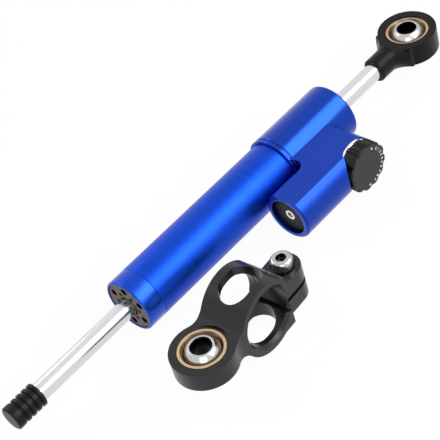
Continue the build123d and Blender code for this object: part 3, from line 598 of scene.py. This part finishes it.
def eased_copy(name, node, width, angle=30, added=None):
    """A copy of a solid, joined to another piece where one is given, with its edges eased."""
    piece = solid_copy(name, node, flat=SOLID_FLAT)
    if added:
        modify(piece, "BOOLEAN", operation="UNION", solver="EXACT", object=added)
        bpy.data.objects.remove(added)
    look = {"width": width, "segments": 3, "miter_outer": "MITER_ARC", "use_clamp_overlap": True}
    modify(piece, "BEVEL", limit_method="ANGLE", angle_limit=radians(angle), **look)
    smooth(piece.data, EASED_ANGLE)
    modify(piece, "WEIGHTED_NORMAL", keep_sharp=True)
    return piece


def place_piece(piece, body, slot, material, *nodes):
    """Gives a piece its material and its body, and hides the solids it stands for; its slot is not
    used.
    """
    piece.data.materials.clear()
    piece.data.materials.append(material)
    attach(piece, body)
    if nodes:
        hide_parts(*nodes)


def dress(material, *nodes):
    """Gives solids that stay as they are their material."""
    for node in nodes:
        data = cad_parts[node].data
        data.materials.clear()
        data.materials.append(material)


def damper_settings(context):
    """The sizes and colours of the damper."""
    return context.scene.damper_sizes, context.scene.damper_colours


# Pieces


class DAMPER_OT_barrel(bpy.types.Operator):
    """Makes the main tube with its turned rings and the collar on its front"""

    bl_idname = "damper.barrel"
    bl_label = "Barrel"

    def execute(self, context):
        sizes, colours = damper_settings(context)
        start, end = TUBE[0][0] / MM, TUBE[1][0] / MM
        seat, neck = COLLAR[1][0] / MM, end - 12.0
        outer = TUBE[1][2] / MM
        bore, rear_neck, front_neck = outer - 2, outer - 0.8, outer - 0.75
        profile = [(start, bore), (end, bore), (end, rear_neck), (neck, rear_neck)]
        profile += [(neck, outer), (seat, outer), (seat, front_neck), (start, front_neck)]
        tube = turned("tube", "X", profile, sizes.edge, sizes.turned_steps)
        finish = turned_blue("blue_turned", colours.blue, sizes.ring_pitch)
        place_piece(tube, "damper_body", "blue_anodised", finish, "main_tube")
        front, chamfer = COLLAR[0][0] / MM, 0.5
        lip, lip_end, socket = outer - 1.1, front + 1.2, outer - 0.7
        profile = [(front, lip), (front, outer - chamfer), (front + chamfer, outer)]
        profile += [(seat, outer), (seat, socket), (lip_end, socket), (lip_end, lip)]
        collar = turned("collar", "X", profile, sizes.edge, sizes.turned_steps)
        finish = plain_blue("blue_collar", shade(colours.blue, 1.15), roughness=0.3)
        place_piece(collar, "damper_body", "blue_anodised", finish, "front_collar")
        return {"FINISHED"}


class DAMPER_OT_head(bpy.types.Operator):
    """Makes the head block with its side housing and finishes the ring under the knob"""

    bl_idname = "damper.head"
    bl_label = "Head"

    def execute(self, context):
        sizes, colours = damper_settings(context)
        head = eased_copy("head", "head_body", sizes.edge, angle=20, added=self.rim(sizes))
        turned_from = (PLUG[1][1] + COLLAR[0][1]) / 2
        blue = shade(colours.blue, 0.9)
        finish = plain_blue("blue_head", blue, roughness=0.36, turned_from=turned_from)
        place_piece(head, "damper_body", "blue_anodised", finish, "head_body")
        look = {"centre": middle(BONNET), "plane": ("X", "Z"), "pitch": 0.00025, "depth": 6e-6}
        dress(bright_metal("turned_aluminium", colours.aluminium, 0.16, **look), "valve_bonnet")
        return {"FINISHED"}

    def rim(self, sizes):
        """A wall inside the side housing's mouth, level with the flat on top.

        It isn't in the solid. There the flat cuts 0.05 mm into the plug's seat, and this closes it.
        """
        front, back = PLUG[0][0] - sizes.plug_setback, PLUG[1][0]
        inner, outer = sizes.plug_radius, 9.6 * MM
        outline = [(front, inner), (front, outer), (back, outer), (back, inner)]
        data = turned_mesh("mouth_wall", SIDE_AXIS, "X", outline, steps=128)
        wall = new_piece("mouth_wall", data)
        mesh = bmesh.new()
        mesh.from_mesh(wall.data)
        parts = [*mesh.verts, *mesh.edges, *mesh.faces]
        plane = {"plane_co": (0, 0, sizes.flat_level), "plane_no": (0, 0, 1)}
        cut = bmesh.ops.bisect_plane(mesh, geom=parts, clear_outer=True, **plane)
        edges = [part for part in cut["geom_cut"] if isinstance(part, bmesh.types.BMEdge)]
        bmesh.ops.holes_fill(mesh, edges=edges)
        bmesh.ops.recalc_face_normals(mesh, faces=mesh.faces)
        mesh.to_mesh(wall.data)
        mesh.free()
        return wall


class DAMPER_OT_glands(bpy.types.Operator):
    """Makes the drilled front gland and finishes the rear one with its clip"""

    bl_idname = "damper.glands"
    bl_label = "Glands"

    def execute(self, context):
        sizes, colours = damper_settings(context)
        face, end = GLAND[0][0] / MM, GLAND[1][0] / MM
        outer = TUBE[1][2] / MM
        bore, stack, stack_start, chamfer = 4.45, 6.3, face + 2.1, 0.3
        nose, flange, body, groove = outer - 1.15, outer - 0.8, outer - 2.05, outer - 3.8
        nose_end, flange_end = face + 0.9, face + 2.9
        groove_start, groove_end = face + 7.25, face + 9.35
        profile = [(face, bore), (face, nose - chamfer), (face + chamfer, nose), (nose_end, nose)]
        profile += [(nose_end, flange), (flange_end, flange), (flange_end, body)]
        profile += [(groove_start, body), (groove_start, groove)]
        profile += [(groove_end, groove), (groove_end, body), (end, body)]
        profile += [(end, stack), (stack_start, stack), (stack_start, bore)]
        gland = turned("gland", "X", profile, edge=0.00008, steps=96)
        # The gland's holes and bore, behind its face and inside this radius, get painted black
        # shade
        behind, edge = (face + 0.12) * MM, (outer - 1.6) * MM
        finish = drilled_metal("drilled_gland", colours.gland_face, behind, edge)
        drilled = self.drilled_face(finish)
        values = {"Face": face * MM, "Holes": sizes.gland_holes}
        wide = {"Hole radius": 0.00155, "Circle radius": 0.0082, "Depth": 0.002}
        small = {"Hole radius": 0.00085, "Circle radius": 0.0059, "Depth": 0.0014}
        drilled.run(gland, values | wide | {"Start angle": radians(30)})
        drilled.run(gland, values | small | {"Start angle": 0.0})
        smooth(gland.data, TURNED_ANGLE)
        place_piece(gland, "damper_body", "black_anodised", finish, "front_gland")
        finish = satin_black("black_rear_gland", colours.black, 0.4, (0, 0, 0), ("Y", "Z"))
        dress(finish, "rear_gland")
        dress(bright_metal("clip_steel", colours.steel, 0.3), "rear_circlip")
        return {"FINISHED"}

    def drilled_face(self, finish):
        """Blind holes in a circle, drilled along X into a face."""
        numbers = ("Face", "Hole radius", "Circle radius", "Depth", "Start angle")
        tree = Pattern("drilled_face", numbers, Holes="Int")
        count = tree.given("Holes")
        line = tree.node("GeometryNodeMeshLine", {"Count": count})
        index = tree.node("GeometryNodeInputIndex", {})
        angle = index * (2 * pi) / count + tree.given("Start angle")
        side, up = tree.on_circle(angle, tree.given("Circle radius"))
        spot = tree.node("ShaderNodeCombineXYZ", {0: tree.given("Face"), 1: side, 2: up})
        spots = tree.node("GeometryNodeSetPosition", {"Geometry": line, "Position": spot})
        # The drill is centred on the face, so it is twice as long as the hole is deep
        radius, depth = tree.given("Hole radius"), tree.given("Depth") * 2.0
        sockets = {"Vertices": 40, "Radius": radius, "Depth": depth}
        drill = tree.node("GeometryNodeMeshCylinder", sockets)
        holes = tree.copies(spots, drill, Rotation=(0, pi / 2, 0))
        holes = tree.node("GeometryNodeRealizeInstances", {0: holes})
        sockets = {"Mesh 1": tree.given("Geometry"), "Mesh 2": holes}
        settings = {"operation": "DIFFERENCE", "solver": "EXACT"}
        tree.end(tree.node("GeometryNodeMeshBoolean", sockets, **settings), finish)
        return tree


class DAMPER_OT_rod(bpy.types.Operator):
    """Makes the chromed rod and the ribbed rubber stop on its free end"""

    bl_idname = "damper.rod"
    bl_label = "Rod and stop"

    def execute(self, context):
        sizes, colours = damper_settings(context)
        start, end = ROD[0][0] / MM, ROD[1][0] / MM
        shank, thread, groove = 4, 3, 3.4
        front, back = start + 11, end - 9
        groove_starts, groove_width = (9.1, 19.9), 0.8
        profile = [(start, 0), (start, thread), (front, thread), (front, shank)]
        for here in groove_starts:
            there = here + groove_width
            profile += [(here, shank), (here, groove), (there, groove), (there, shank)]
        profile += [(back, shank), (back, thread), (end, thread), (end, 0)]
        rod = turned("rod", "X", profile, edge=0.00012, steps=128)
        finish = ground_rod("ground_chrome", colours.chrome)
        place_piece(rod, "rod", "chromed_steel", finish, "piston_rod")
        self.stop(sizes, soft_rubber("moulded_rubber", colours.rubber))
        return {"FINISHED"}

    def stop(self, sizes, rubber):
        """The stop's cap and core, and its row of ribs."""
        outer, inner = STOP[0][0] / MM, STOP[1][0] / MM
        cap, crown, core = 5.2, 4.5, 4.4
        cap_start, cap_end, core_start = outer + 0.5, outer + 3.6, outer + 3.9
        bore, bore_end = 3.05, inner - 11
        profile = [(outer, 0), (outer, crown), (cap_start, cap), (cap_end, cap)]
        profile += [(core_start, core), (inner, core), (inner, bore)]
        profile += [(bore_end, bore), (bore_end, 0)]
        stop = turned("stop", "X", profile, edge=0.0003, steps=96)
        place_piece(stop, "rod", "black_rubber", rubber, "end_stop")
        root, shoulder, slope = 3.6, 4.9, 0.12
        width = sizes.stop_rib_width / MM
        profile = [(0, root), (0, shoulder), (slope, cap)]
        profile += [(width - slope, cap), (width, shoulder), (width, root)]
        ribs = turned("stop_ribs", "X", profile, edge=0.00012, steps=96)
        row = Pattern("rib_row", ("Pitch", "Start"), Ribs="Int")
        sockets = {
            "Count": row.given("Ribs"),
            "Start Location": row.node("ShaderNodeCombineXYZ", {0: row.given("Start")}),
            "Offset": row.node("ShaderNodeCombineXYZ", {0: row.given("Pitch")}),
        }
        line = row.node("GeometryNodeMeshLine", sockets, mode="OFFSET")
        row.end(row.copies(line, row.given("Geometry")), rubber)
        first = STOP[1][0] - (sizes.stop_ribs - 1) * sizes.stop_pitch - sizes.stop_rib_width
        row.run(ribs, {"Ribs": sizes.stop_ribs, "Pitch": sizes.stop_pitch, "Start": first})
        smooth(ribs.data, TURNED_ANGLE)
        place_piece(ribs, "rod", "black_rubber", rubber)


class DAMPER_OT_bearings(bpy.types.Operator):
    """Makes the bronze races and the drilled balls of both spherical bearings"""

    bl_idname = "damper.bearings"
    bl_label = "Bearings"

    def execute(self, context):
        colours = context.scene.damper_colours
        ball, half, bore, chamfer = 7.9375, 6.0, 4.0, 0.5
        ball_profile = self.arc(ball, half, 12) + [(half, bore + chamfer), (half - chamfer, bore)]
        ball_profile += [(chamfer - half, bore), (-half, bore + chamfer)]
        cup, cup_half, side, inner, outer = 7.9775, 3.0, 4.5, 8.4, 9.5
        race_profile = self.arc(cup, cup_half, 8) + [(side, inner), (side, outer)]
        race_profile += [(-side, outer), (-side, inner)]
        # Colours of painted shade in the balls' bores and the races' cups
        grey, black = shade(colours.chrome, 0.75), shade(colours.black, 0.25)
        race_shade_brown = shade(colours.bronze, 0.3)
        for label, box, body, holder in (
            ("rod_end", EYE_BALL, "rod_end_ball", "rod"),
            ("clamp", CLAMP_BALL, "clamp_ball", "damper_body"),
        ):
            centre = middle(box)
            about = {"centre": centre, "plane": ("X", "Y")}
            made = turned(f"{label}_bearing_ball", "Z", ball_profile, 0.0001, 128, centre)
            # The ball's bore is darker inside this radius: painted shade
            marks = {"pitch": 0.0009, "depth": 1e-6, "inside": 0.00445, "dark": black}
            finish = bright_metal(f"{label}_ball_chrome", grey, 0.2, **about, **marks)
            place_piece(made, body, "chromed_steel", finish, f"{label}_ball")
            made = turned(f"{label}_bearing_race", "Z", race_profile, 0.00012, 128, centre)
            # The race's cup and chamfer round the ball are darker inside this radius: painted shade
            marks = {"pitch": 0.0004, "depth": 4e-6, "inside": 0.00845, "dark": race_shade_brown}
            finish = bright_metal(f"{label}_bronze", colours.bronze, 0.25, **about, **marks)
            place_piece(made, holder, "bronze", finish, f"{label}_race")
        return {"FINISHED"}

    def arc(self, radius, half, steps):
        """The outline of a sphere between two flat ends, in steps from its middle to each."""
        turn = atan2(half, sqrt(radius**2 - half**2)) / steps
        angles = [turn * step for step in range(-steps, steps + 1)]
        return [(radius * sin(angle), radius * cos(angle)) for angle in angles]


class DAMPER_OT_rod_end(bpy.types.Operator):
    """Makes the black rod end with its flared neck"""

    bl_idname = "damper.rod_end"
    bl_label = "Rod end"

    def execute(self, context):
        colours = context.scene.damper_colours
        piece = eased_copy("rod_end_eye", "rod_end", width=0.0003)
        finish = satin_black("black_rod_end", shade(colours.black, 0.3), 0.32, gloss=0.16)
        place_piece(piece, "rod", "black_anodised", finish, "rod_end")
        return {"FINISHED"}


class DAMPER_OT_clamp(bpy.types.Operator):
    """Makes the loose clamp with its windows and slit, and its screw"""

    bl_idname = "damper.clamp"
    bl_label = "Clamp"

    def execute(self, context):
        colours = context.scene.damper_colours
        # The clamp's smallest facets limit its easing to next to nothing
        piece = eased_copy("clamp", "clamp_body", width=0.0004)
        finish = satin_black("black_clamp", shade(colours.black, 0.4), 0.27)
        place_piece(piece, "damper_body", "black_anodised", finish, "clamp_body")
        screw = eased_copy("clamp_bolt", "clamp_screw", width=0.00025)
        about = {"centre": middle(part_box("clamp_screw")), "plane": ("X", "Y"), "pitch": 0.0009}
        # Painted shade: the screw's hex socket, inside this radius, is dark
        dark = {"inside": 0.0022, "dark": shade(colours.steel, 0.1)}
        finish = bright_metal("bolt_steel", colours.steel, 0.2, **about, **dark)
        place_piece(screw, "damper_body", "steel", finish, "clamp_screw")
        return {"FINISHED"}


class DAMPER_OT_knob(bpy.types.Operator):
    """Makes the scalloped adjuster knob with its printed numbers and dots"""

    bl_idname = "damper.knob"
    bl_label = "Knob"

    def execute(self, context):
        sizes, colours = damper_settings(context)
        face, back = KNOB[0][1] / MM, KNOB[1][1] / MM
        rim, front_ease, back_ease, flat = 10.9, 0.5, 0.3, 8.0
        bore, floor = 2.5, back - 4.4
        profile = [(face, 0), (face, flat), (face, rim - front_ease), (face + front_ease, rim)]
        profile += [(back - back_ease, rim), (back, rim - back_ease), (back, bore)]
        profile += [(floor, bore), (floor, 0)]
        knob = turned("knob", "Y", profile, edge=0.0002, steps=360, base=KNOB_AXIS)
        # Painted shade: the knob's rim and sides, beyond the face's radius, are darker
        look = ROUND_KNOB | {"pitch": 0.0005, "gloss": 0.25, "face": 0.0102}
        finish = satin_black("black_knob", shade(colours.black, 1.3), 0.4, **look)
        values = {
            "Centre": KNOB_AXIS,
            "Radius": rim * MM,
            "Scallops": sizes.knob_scallops,
            "Scallop radius": sizes.knob_scallop_radius,
            "Scallop depth": sizes.knob_scallop_depth,
        }
        self.scalloped_rim(finish).run(knob, values)
        smooth(knob.data, SCALLOPED_ANGLE)
        place_piece(knob, "knob", "black_anodised", finish, "adjuster_knob")
        on_face = Vector((KNOB_AXIS[0], KNOB[0][1], KNOB_AXIS[2]))
        print_finish = hard_plastic("white_print", colours.marks)
        self.numbers(sizes, on_face, print_finish)
        self.dots(sizes, on_face, print_finish)
        finish = bright_metal("spindle_steel", colours.steel, 0.25, **ROUND_KNOB)
        dress(finish, "adjuster_spindle")
        return {"FINISHED"}

    def scalloped_rim(self, finish):
        """Moves the points near a rim about Y inwards, in hollows that are arcs."""
        numbers = ("Radius", "Scallop radius", "Scallop depth")
        tree = Pattern("scalloped_rim", numbers, Centre="Vector", Scallops="Int")
        where = {0: tree.node("GeometryNodeInputPosition", {}), 1: tree.given("Centre")}
        local = tree.node("ShaderNodeVectorMath", where, operation="SUBTRACT")
        along = tree.node("ShaderNodeSeparateXYZ", {0: local}, 0)
        up = tree.node("ShaderNodeSeparateXYZ", {0: local}, 2)
        radius = tree.math("SQRT", along**2.0 + up**2.0)
        share = 2 * pi / tree.given("Scallops")
        angle = tree.math("ARCTAN2", up, along)
        turn = tree.math("WRAP", angle, share * 0.5, share * -0.5)
        full, bow = tree.given("Radius"), tree.given("Scallop radius")
        away = full + bow - tree.given("Scallop depth")
        across = away * tree.math("SINE", turn)
        inside = tree.math("MAXIMUM", bow**2.0 - across**2.0, 0.0)
        edge = away * tree.math("COSINE", turn) - tree.math("SQRT", inside)
        cut = full - tree.math("MINIMUM", edge, full)
        cut = cut * tree.math("GREATER_THAN", inside, 1e-12)
        # The hollows fade out on the face, between these shares of the radius
        sockets = {0: radius, 1: full * 0.84, 2: full * 0.95, 3: 0.0, 4: 1.0}
        near = tree.node("ShaderNodeMapRange", sockets, interpolation_type="SMOOTHSTEP")
        move = cut * near / tree.math("MAXIMUM", radius, 1e-6) * -1.0
        shift = tree.node("ShaderNodeCombineXYZ", {0: along * move, 2: up * move})
        sockets = {"Geometry": tree.given("Geometry"), "Offset": shift}
        tree.end(tree.node("GeometryNodeSetPosition", sockets), finish)
        return tree

    def numbers(self, sizes, on_face, finish):
        """Prints the numbers round the knob's face, their tops outwards."""
        joined = bmesh.new()
        for number in range(sizes.knob_numbers):
            angle = radians(NUMBER_START - number * NUMBER_STEP)
            text = bpy.data.curves.new("number", "FONT")
            text.body = str(number)
            text.size = sizes.knob_number_height
            text.align_x = text.align_y = "CENTER"
            text.extrude = sizes.print_thickness
            text.resolution_u = 3
            holder = new_piece("number", text)
            outward = Vector((cos(angle), 0, sin(angle)))
            right = (sin(angle), 0, -cos(angle))
            turn = Matrix((right, outward, (0, -1, 0))).transposed().to_4x4()
            turn.translation = on_face + outward * PRINT_RADIUS
            mesh = flat_mesh(holder)
            mesh.transform(turn)
            joined.from_mesh(mesh)
            bpy.data.objects.remove(holder)
            bpy.data.curves.remove(text)
            bpy.data.meshes.remove(mesh)
        piece = new_piece("knob_numbers", tidy_mesh("knob_numbers", joined))
        place_piece(piece, "knob", "black_anodised", finish)

    def dots(self, sizes, on_face, finish):
        """Prints one dot at each end of the scale."""
        tree = Pattern("dot_row", ("Radius", "From", "To"), Dots="Int", Middle="Vector")
        line = tree.node("GeometryNodeMeshLine", {"Count": tree.given("Dots")})
        index = tree.node("GeometryNodeInputIndex", {})
        step = (tree.given("To") - tree.given("From")) / (tree.given("Dots") - 1.0)
        angle = tree.given("From") + index * step
        side, up = tree.on_circle(angle, tree.given("Radius"))
        spot = {0: tree.node("ShaderNodeCombineXYZ", {0: side, 2: up}), 1: tree.given("Middle")}
        spot = tree.node("ShaderNodeVectorMath", spot, operation="ADD")
        spots = tree.node("GeometryNodeSetPosition", {"Geometry": line, "Position": spot})
        tree.end(tree.copies(spots, tree.given("Geometry")), finish)
        thick = sizes.print_thickness / MM
        profile = [(-thick, 0), (-thick, DOT_RADIUS), (thick, DOT_RADIUS), (thick, 0)]
        piece = turned("knob_dots", "Y", profile, edge=0.0, steps=24)
        first, last = (radians(angle) for angle in DOT_ANGLES)
        values = {"Radius": PRINT_RADIUS, "From": first, "To": last, "Dots": len(DOT_ANGLES)}
        tree.run(piece, values | {"Middle": tuple(on_face)})
        smooth(piece.data, TURNED_ANGLE)
        place_piece(piece, "knob", "black_anodised", finish)


class DAMPER_OT_plug(bpy.types.Operator):
    """Makes the plug in the side housing and its bleed screw"""

    bl_idname = "damper.plug"
    bl_label = "Plug"

    def execute(self, context):
        sizes, colours = damper_settings(context)
        plug = eased_copy("plug", "side_plug", width=0.0002)
        # The plug's rim, but not its hole, is drawn in to the wall in the housing's mouth
        y, z = SIDE_AXIS[1:]
        share = sizes.plug_radius / (PLUG[1][1] - y)
        for vertex in plug.data.vertices:
            away = Vector((vertex.co.y - y, vertex.co.z - z))
            if away.length > 0.8 * sizes.plug_radius:
                vertex.co.y, vertex.co.z = y + away.x * share, z + away.y * share
        look = ROUND_SIDE | {"pitch": 0.0005, "gloss": 0.14}
        finish = satin_black("black_plug", shade(colours.black, 0.5), 0.4, **look)
        place_piece(plug, "damper_body", "black_anodised", finish, "side_plug")
        screw = eased_copy("bleed_bolt", "bleed_screw", width=0.00012)
        # The paler steel is painted highlight on the screw's head, and the dark centre is painted
        # shade in its socket
        pale, dark = shade(colours.steel, 1.5), shade(colours.steel, 0.08)
        look = ROUND_SIDE | {"pitch": 0.0006, "inside": 0.001, "dark": dark}
        finish = bright_metal("bleed_steel", pale, 0.18, **look)
        place_piece(screw, "damper_body", "steel", finish, "bleed_screw")
        return {"FINISHED"}


class DAMPER_OT_inner_parts(bpy.types.Operator):
    """Makes the spring, and finishes the seals, bushes, pistons and valve inside"""

    bl_idname = "damper.inner_parts"
    bl_label = "Inner parts"

    def execute(self, context):
        colours = context.scene.damper_colours
        seals = ["side_plug_o_ring", "compensator_o_ring"]
        for end in ("front", "rear"):
            seals += [f"{end}_gland_o_ring", f"{end}_wiper", f"{end}_rod_seal"]
        dress(soft_rubber("seal_rubber", colours.rubber), *seals)
        bare, steel = colours.aluminium, colours.steel
        dress(bright_metal("bush_bronze", colours.bronze, 0.3), "front_bush", "rear_bush")
        dress(bright_metal("piston_aluminium", bare, 0.28, depth=6e-6), "piston")
        finish = bright_metal("float_aluminium", bare, 0.28, SIDE_AXIS, depth=6e-6)
        dress(finish, "compensator_piston")
        dress(hard_plastic("ring_plastic", colours.plastic), "piston_ring")
        dress(bright_metal("piston_clip_steel", steel, 0.3), "piston_clips")
        self.spring(bright_metal("spring_steel", steel, 0.3, SIDE_AXIS))
        dress(bright_metal("needle_steel", steel, 0.18, **ROUND_KNOB), "metering_needle")
        dress(bright_metal("seat_brass", colours.brass, 0.3, **ROUND_KNOB), "needle_seat")
        return {"FINISHED"}

    def spring(self, finish):
        """The spring between plug and floating piston, copied from its solid."""
        spring = solid_copy("spring", "compensator_spring")
        spring.data.materials.append(finish)
        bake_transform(spring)
        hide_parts("compensator_spring")


class DAMPER_OT_stage(bpy.types.Operator):
    """Makes the floor, the lamps, the white surroundings and the camera"""

    bl_idname = "damper.stage"
    bl_label = "Stage"

    def execute(self, context):
        scene = context.scene
        scene.view_settings.view_transform = "Standard"
        self.floor()
        self.surroundings(scene)
        self.lamp("key", place=(0.42, -0.58, 0.68), width=0.85, height=0.62, power=7.5)
        self.lamp("fill", place=(-0.75, -0.75, 0.55), width=0.7, height=0.7, power=3.5)
        self.lamp("rim", place=(-0.2, 0.95, 0.75), width=0.9, height=0.3, power=3.5)
        camera = new_piece("camera", bpy.data.cameras.new("camera"))
        right = (0.6529, -0.7235, -0.2242)
        up = (0.6267, 0.3498, 0.6963)
        back = (-0.4253, -0.5952, 0.6818)
        view = Matrix((right, up, back)).transposed().to_4x4()
        view.translation = Vector((-0.2469, -0.3671, 0.4201))
        camera.matrix_world = view
        camera.data.sensor_width = SENSOR_WIDTH
        camera.data.lens = PHOTO_FOCUS / PHOTO_WIDTH * SENSOR_WIDTH
        camera.data.clip_start = 0.01
        scene.camera = camera
        return {"FINISHED"}

    def seen(self, maker):
        """1 for rays from the camera, a mirror or glass."""
        camera, glossy, clear = (
            maker.node("ShaderNodeLightPath", {}, f"Is {name} Ray")
            for name in ("Camera", "Glossy", "Transmission")
        )
        return maker.math("MAXIMUM", maker.math("MAXIMUM", camera, glossy), clear)

    def show_white(self, data, old, output, share, plain, white):
        """Puts a plain and a white shader in a tree, and shows the white one to seen rays."""
        data.use_nodes = True
        nodes = data.node_tree.nodes
        nodes.remove(nodes[old])
        maker = NodeMaker(data.node_tree)
        first, second = (maker.node(kind, sockets) for kind, sockets in (plain, white))
        sockets = {0: self.seen(maker) * share, 1: first, 2: second}
        mixed = maker.node("ShaderNodeMixShader", sockets)
        maker.feed(nodes[output].inputs["Surface"], mixed)

    def floor(self):
        """A pale floor that shows white and keeps the shadow."""
        z, reach = CAD_BOX[0][2], FLOOR_REACH
        mesh = bpy.data.meshes.new("floor")
        corners = [(-reach, -reach, z), (reach, -reach, z), (reach, reach, z), (-reach, reach, z)]
        mesh.from_pydata(corners, [], [(0, 1, 2, 3)])
        floor = new_piece("floor", mesh)
        material = bpy.data.materials.new("pale_floor")
        plain = ("ShaderNodeBsdfDiffuse", {"Color": (0.85, 0.85, 0.85, 1)})
        white = ("ShaderNodeEmission", {"Color": WHITE, "Strength": 1.0})
        names = ("Principled BSDF", "Material Output")
        self.show_white(material, *names, FLOOR_WHITE, plain, white)
        mesh.materials.append(material)

    def surroundings(self, scene):
        """White for the camera and in mirrors, and a plain soft light on the object."""
        scene.world = bpy.data.worlds.new("surroundings")
        soft = ("ShaderNodeBackground", {"Color": WHITE, "Strength": 0.55})
        white = ("ShaderNodeBackground", {"Color": WHITE, "Strength": 1.0})
        self.show_white(scene.world, "Background", "World Output", 1.0, soft, white)

    def lamp(self, name, place, width, height, power):
        """A soft box that looks at the middle of the damper."""
        light = bpy.data.lights.new(name, "AREA")
        light.shape = "RECTANGLE"
        light.size = width
        light.size_y = height
        light.energy = power
        lamp = new_piece(name, light)
        lamp.location = place
        aim = Vector(LAMP_AIM) - Vector(place)
        lamp.rotation_euler = aim.to_track_quat("-Z", "Y").to_euler()


class DAMPER_PT_pieces(bpy.types.Panel):
    """Lists the pieces of the damper"""

    bl_idname = "DAMPER_PT_pieces"
    bl_label = "Damper"
    bl_space_type = "VIEW_3D"
    bl_region_type = "UI"
    bl_category = "Damper"

    def draw(self, context):
        for piece in PIECES:
            self.layout.operator(piece.bl_idname)
        for settings in damper_settings(context):
            for name in settings.bl_rna.properties.keys():
                if name not in ("rna_type", "name"):
                    self.layout.prop(settings, name)


PIECES = (
    DAMPER_OT_barrel,
    DAMPER_OT_head,
    DAMPER_OT_glands,
    DAMPER_OT_rod,
    DAMPER_OT_bearings,
    DAMPER_OT_rod_end,
    DAMPER_OT_clamp,
    DAMPER_OT_knob,
    DAMPER_OT_plug,
    DAMPER_OT_inner_parts,
    DAMPER_OT_stage,
)
CLASSES = (DamperSizes, DamperColours, *PIECES, DAMPER_PT_pieces)


def register():
    """Adds the damper's classes and settings."""
    for item in CLASSES:
        bpy.utils.register_class(item)
    bpy.types.Scene.damper_sizes = PointerProperty(type=DamperSizes)
    bpy.types.Scene.damper_colours = PointerProperty(type=DamperColours)


def unregister():
    """Takes the damper's classes and settings away."""
    del bpy.types.Scene.damper_colours
    del bpy.types.Scene.damper_sizes
    for item in reversed(CLASSES):
        bpy.utils.unregister_class(item)


def main():
    """Makes every piece in order."""
    register()
    for piece in PIECES:
        group, name = piece.bl_idname.split(".")
        getattr(getattr(bpy.ops, group), name)()


if __name__ == "__main__":
    main()
